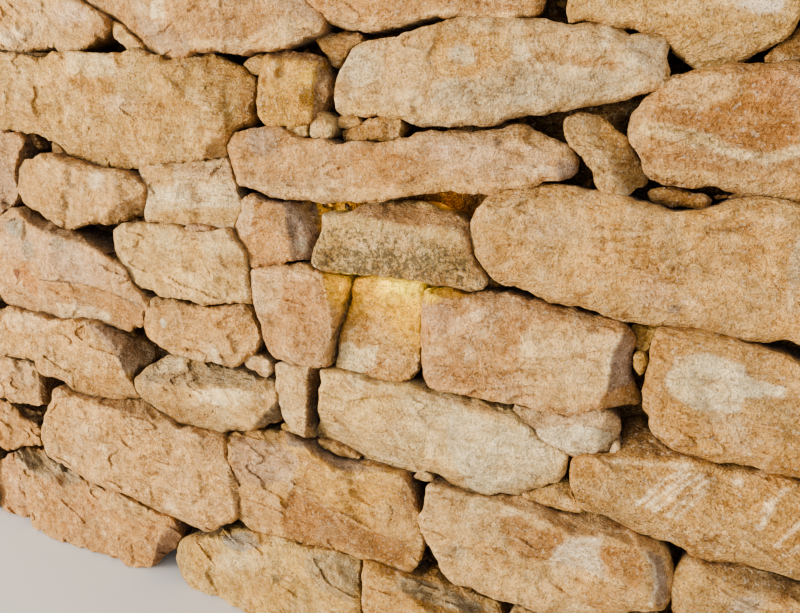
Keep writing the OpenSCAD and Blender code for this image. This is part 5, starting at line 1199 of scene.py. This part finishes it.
import bmesh
bm = bmesh.new()
bmesh.ops.create_icosphere(bm, subdivisions=2, radius=1.0)
bm.verts.ensure_lookup_table()
ICO = (np.array([v.co[:] for v in bm.verts]), np.array([[v.index for v in f.verts] for f in bm.faces]))
bm.free()
rs = np.random.RandomState(77)
for node, stones in FRONT.items():
    for st in stones:
        poly = resample(pts(st["o"]), 34.0)
        nrm = loop_normals(poly if area(poly) > 0 else poly[::-1])
        if area(poly) < 0:
            poly = poly[::-1]
        for q, n in zip(poly, nrm):
            if rs.rand() < .36 and q[1] > 12 and not node.startswith("niche"):
                r = float(rs.uniform(4, 11))
                x, z = q[0] + n[0] * rs.uniform(0, 7), q[1] + n[1] * rs.uniform(0, 7)
                if 90 < x < 300 and 630 < z < 680:
                    continue
                h = -float(rs.uniform(30, 62))
                P = face_point(np.array([x]), np.array([z]), np.array([h]), -1)[0]
                if P[2] < r * 1.5:
                    continue
                crumb(bag, P, r, int(rs.randint(1e6)), ("186,140,90", "160,116,74", "206,164,112", "132,96,62")[rs.randint(4)])
finish_piece(bag.build("rubble_core", materials["rubble"]), ["hearting"])


# ---------------------------------------------------------------- the lamp, kept from the construction
def metal_material():
    m = bpy.data.materials.new("lamp_metal_finish")
    m.use_nodes = True
    nt = m.node_tree
    b = nt.nodes["Principled BSDF"]
    b.inputs["Metallic"].default_value = 1.0
    b.inputs["Roughness"].default_value = 0.42
    tc = nt.nodes.new("ShaderNodeTexCoord")
    mp = nt.nodes.new("ShaderNodeMapping")
    mp.inputs["Scale"].default_value = (60, 900, 900)
    no = nt.nodes.new("ShaderNodeTexNoise")
    no.inputs["Scale"].default_value = 1.0
    no.inputs["Detail"].default_value = 4.0
    nt.links.new(tc.outputs["Object"], mp.inputs["Vector"]); nt.links.new(mp.outputs["Vector"], no.inputs["Vector"])
    rp = nt.nodes.new("ShaderNodeValToRGB")
    rp.color_ramp.elements[0].color = (.36, .35, .34, 1); rp.color_ramp.elements[1].color = (.62, .61, .60, 1)
    nt.links.new(no.outputs["Fac"], rp.inputs["Fac"]); nt.links.new(rp.outputs["Color"], b.inputs["Base Color"])
    bp = nt.nodes.new("ShaderNodeBump")
    bp.inputs["Strength"].default_value = .3; bp.inputs["Distance"].default_value = .0003
    nt.links.new(no.outputs["Fac"], bp.inputs["Height"]); nt.links.new(bp.outputs["Normal"], b.inputs["Normal"])
    return m


def lens_material():
    m = bpy.data.materials.new("lamp_lens_finish")
    m.use_nodes = True
    nt = m.node_tree
    b = nt.nodes["Principled BSDF"]
    b.inputs["Roughness"].default_value = 0.35
    tc = nt.nodes.new("ShaderNodeTexCoord")
    no = nt.nodes.new("ShaderNodeTexNoise"); no.inputs["Scale"].default_value = 240.0
    nt.links.new(tc.outputs["Object"], no.inputs["Vector"])
    rp = nt.nodes.new("ShaderNodeValToRGB")
    rp.color_ramp.elements[0].color = (.95, .78, .03, 1); rp.color_ramp.elements[1].color = (1, .90, .08, 1)
    nt.links.new(no.outputs["Fac"], rp.inputs["Fac"])
    nt.links.new(rp.outputs["Color"], b.inputs["Base Color"]); nt.links.new(rp.outputs["Color"], b.inputs["Emission Color"])
    b.inputs["Emission Strength"].default_value = 5.0
    return m


def give(node, mat):
    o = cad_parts[node]
    if not o.material_slots:
        o.data.materials.append(mat)
    for s in o.material_slots:
        s.material = mat


metal = metal_material()
give("lamp_housing", metal)
give("lamp_bracket", metal)
give("lamp_lens", lens_material())

# ---------------------------------------------------------------- floor, light
me = bpy.data.meshes.new("floor")
me.from_pydata([(-9, -9, 0), (9, -9, 0), (9, 9, 0), (-9, 9, 0)], [], [(0, 1, 2, 3)])
floor = bpy.data.objects.new("floor", me)
bpy.context.scene.collection.objects.link(floor)
fm = bpy.data.materials.new("floor_finish")
fm.use_nodes = True
fm.node_tree.nodes["Principled BSDF"].inputs["Base Color"].default_value = (.66, .63, .59, 1)
fm.node_tree.nodes["Principled BSDF"].inputs["Roughness"].default_value = .9
me.materials.append(fm)

world = bpy.data.worlds.new("studio")
bpy.context.scene.world = world
world.use_nodes = True
bg = world.node_tree.nodes["Background"]
bg.inputs["Color"].default_value = (.93, .96, 1.0, 1)
bg.inputs["Strength"].default_value = 1.40


def area_light(name, loc, target, size, power, colour=(1, 1, 1)):
    ld = bpy.data.lights.new(name, "AREA")
    ld.shape, ld.size, ld.energy, ld.color = "SQUARE", size, power, colour
    lo = bpy.data.objects.new(name, ld)
    bpy.context.scene.collection.objects.link(lo)
    lo.location = loc
    lo.rotation_euler = (Vector(target) - Vector(loc)).to_track_quat("-Z", "Y").to_euler()
    return lo


def warm_light(name, loc, radius, power, colour):
    ld = bpy.data.lights.new(name, "POINT")
    ld.shadow_soft_size, ld.energy, ld.color = radius, power, colour
    lo = bpy.data.objects.new(name, ld)
    bpy.context.scene.collection.objects.link(lo)
    lo.location = loc
    lo.visible_camera = False
    return lo


area_light("key", (-2.9, -2.9, 0.80), (0.0, -0.25, 0.66), 1.4, 395.0, (1, .93, .79))
area_light("fill", (2.0, 2.9, 2.7), (0.0, 0.2, 0.7), 2.4, 300.0, (1, .93, .80))
warm_light("glow_core", (0.250, -0.218, 0.650), .006, 0.048, (.98, 1.0, .0))
warm_light("glow_wide", (0.215, -0.212, 0.648), .006, 0.040, (1.0, .86, .0))
warm_light("glow_left", (0.166, -0.224, 0.648), .004, 0.060, (1.0, .88, .0))
warm_light("glow_right", (0.290, -0.226, 0.654), .004, 0.080, (1.0, .92, .0))
warm_light("leak_left", (0.118, -0.172, 0.756), .004, 0.075, (1.0, .70, .0))
warm_light("leak_right", (0.300, -0.174, 0.774), .004, 0.040, (1.0, .50, .0))
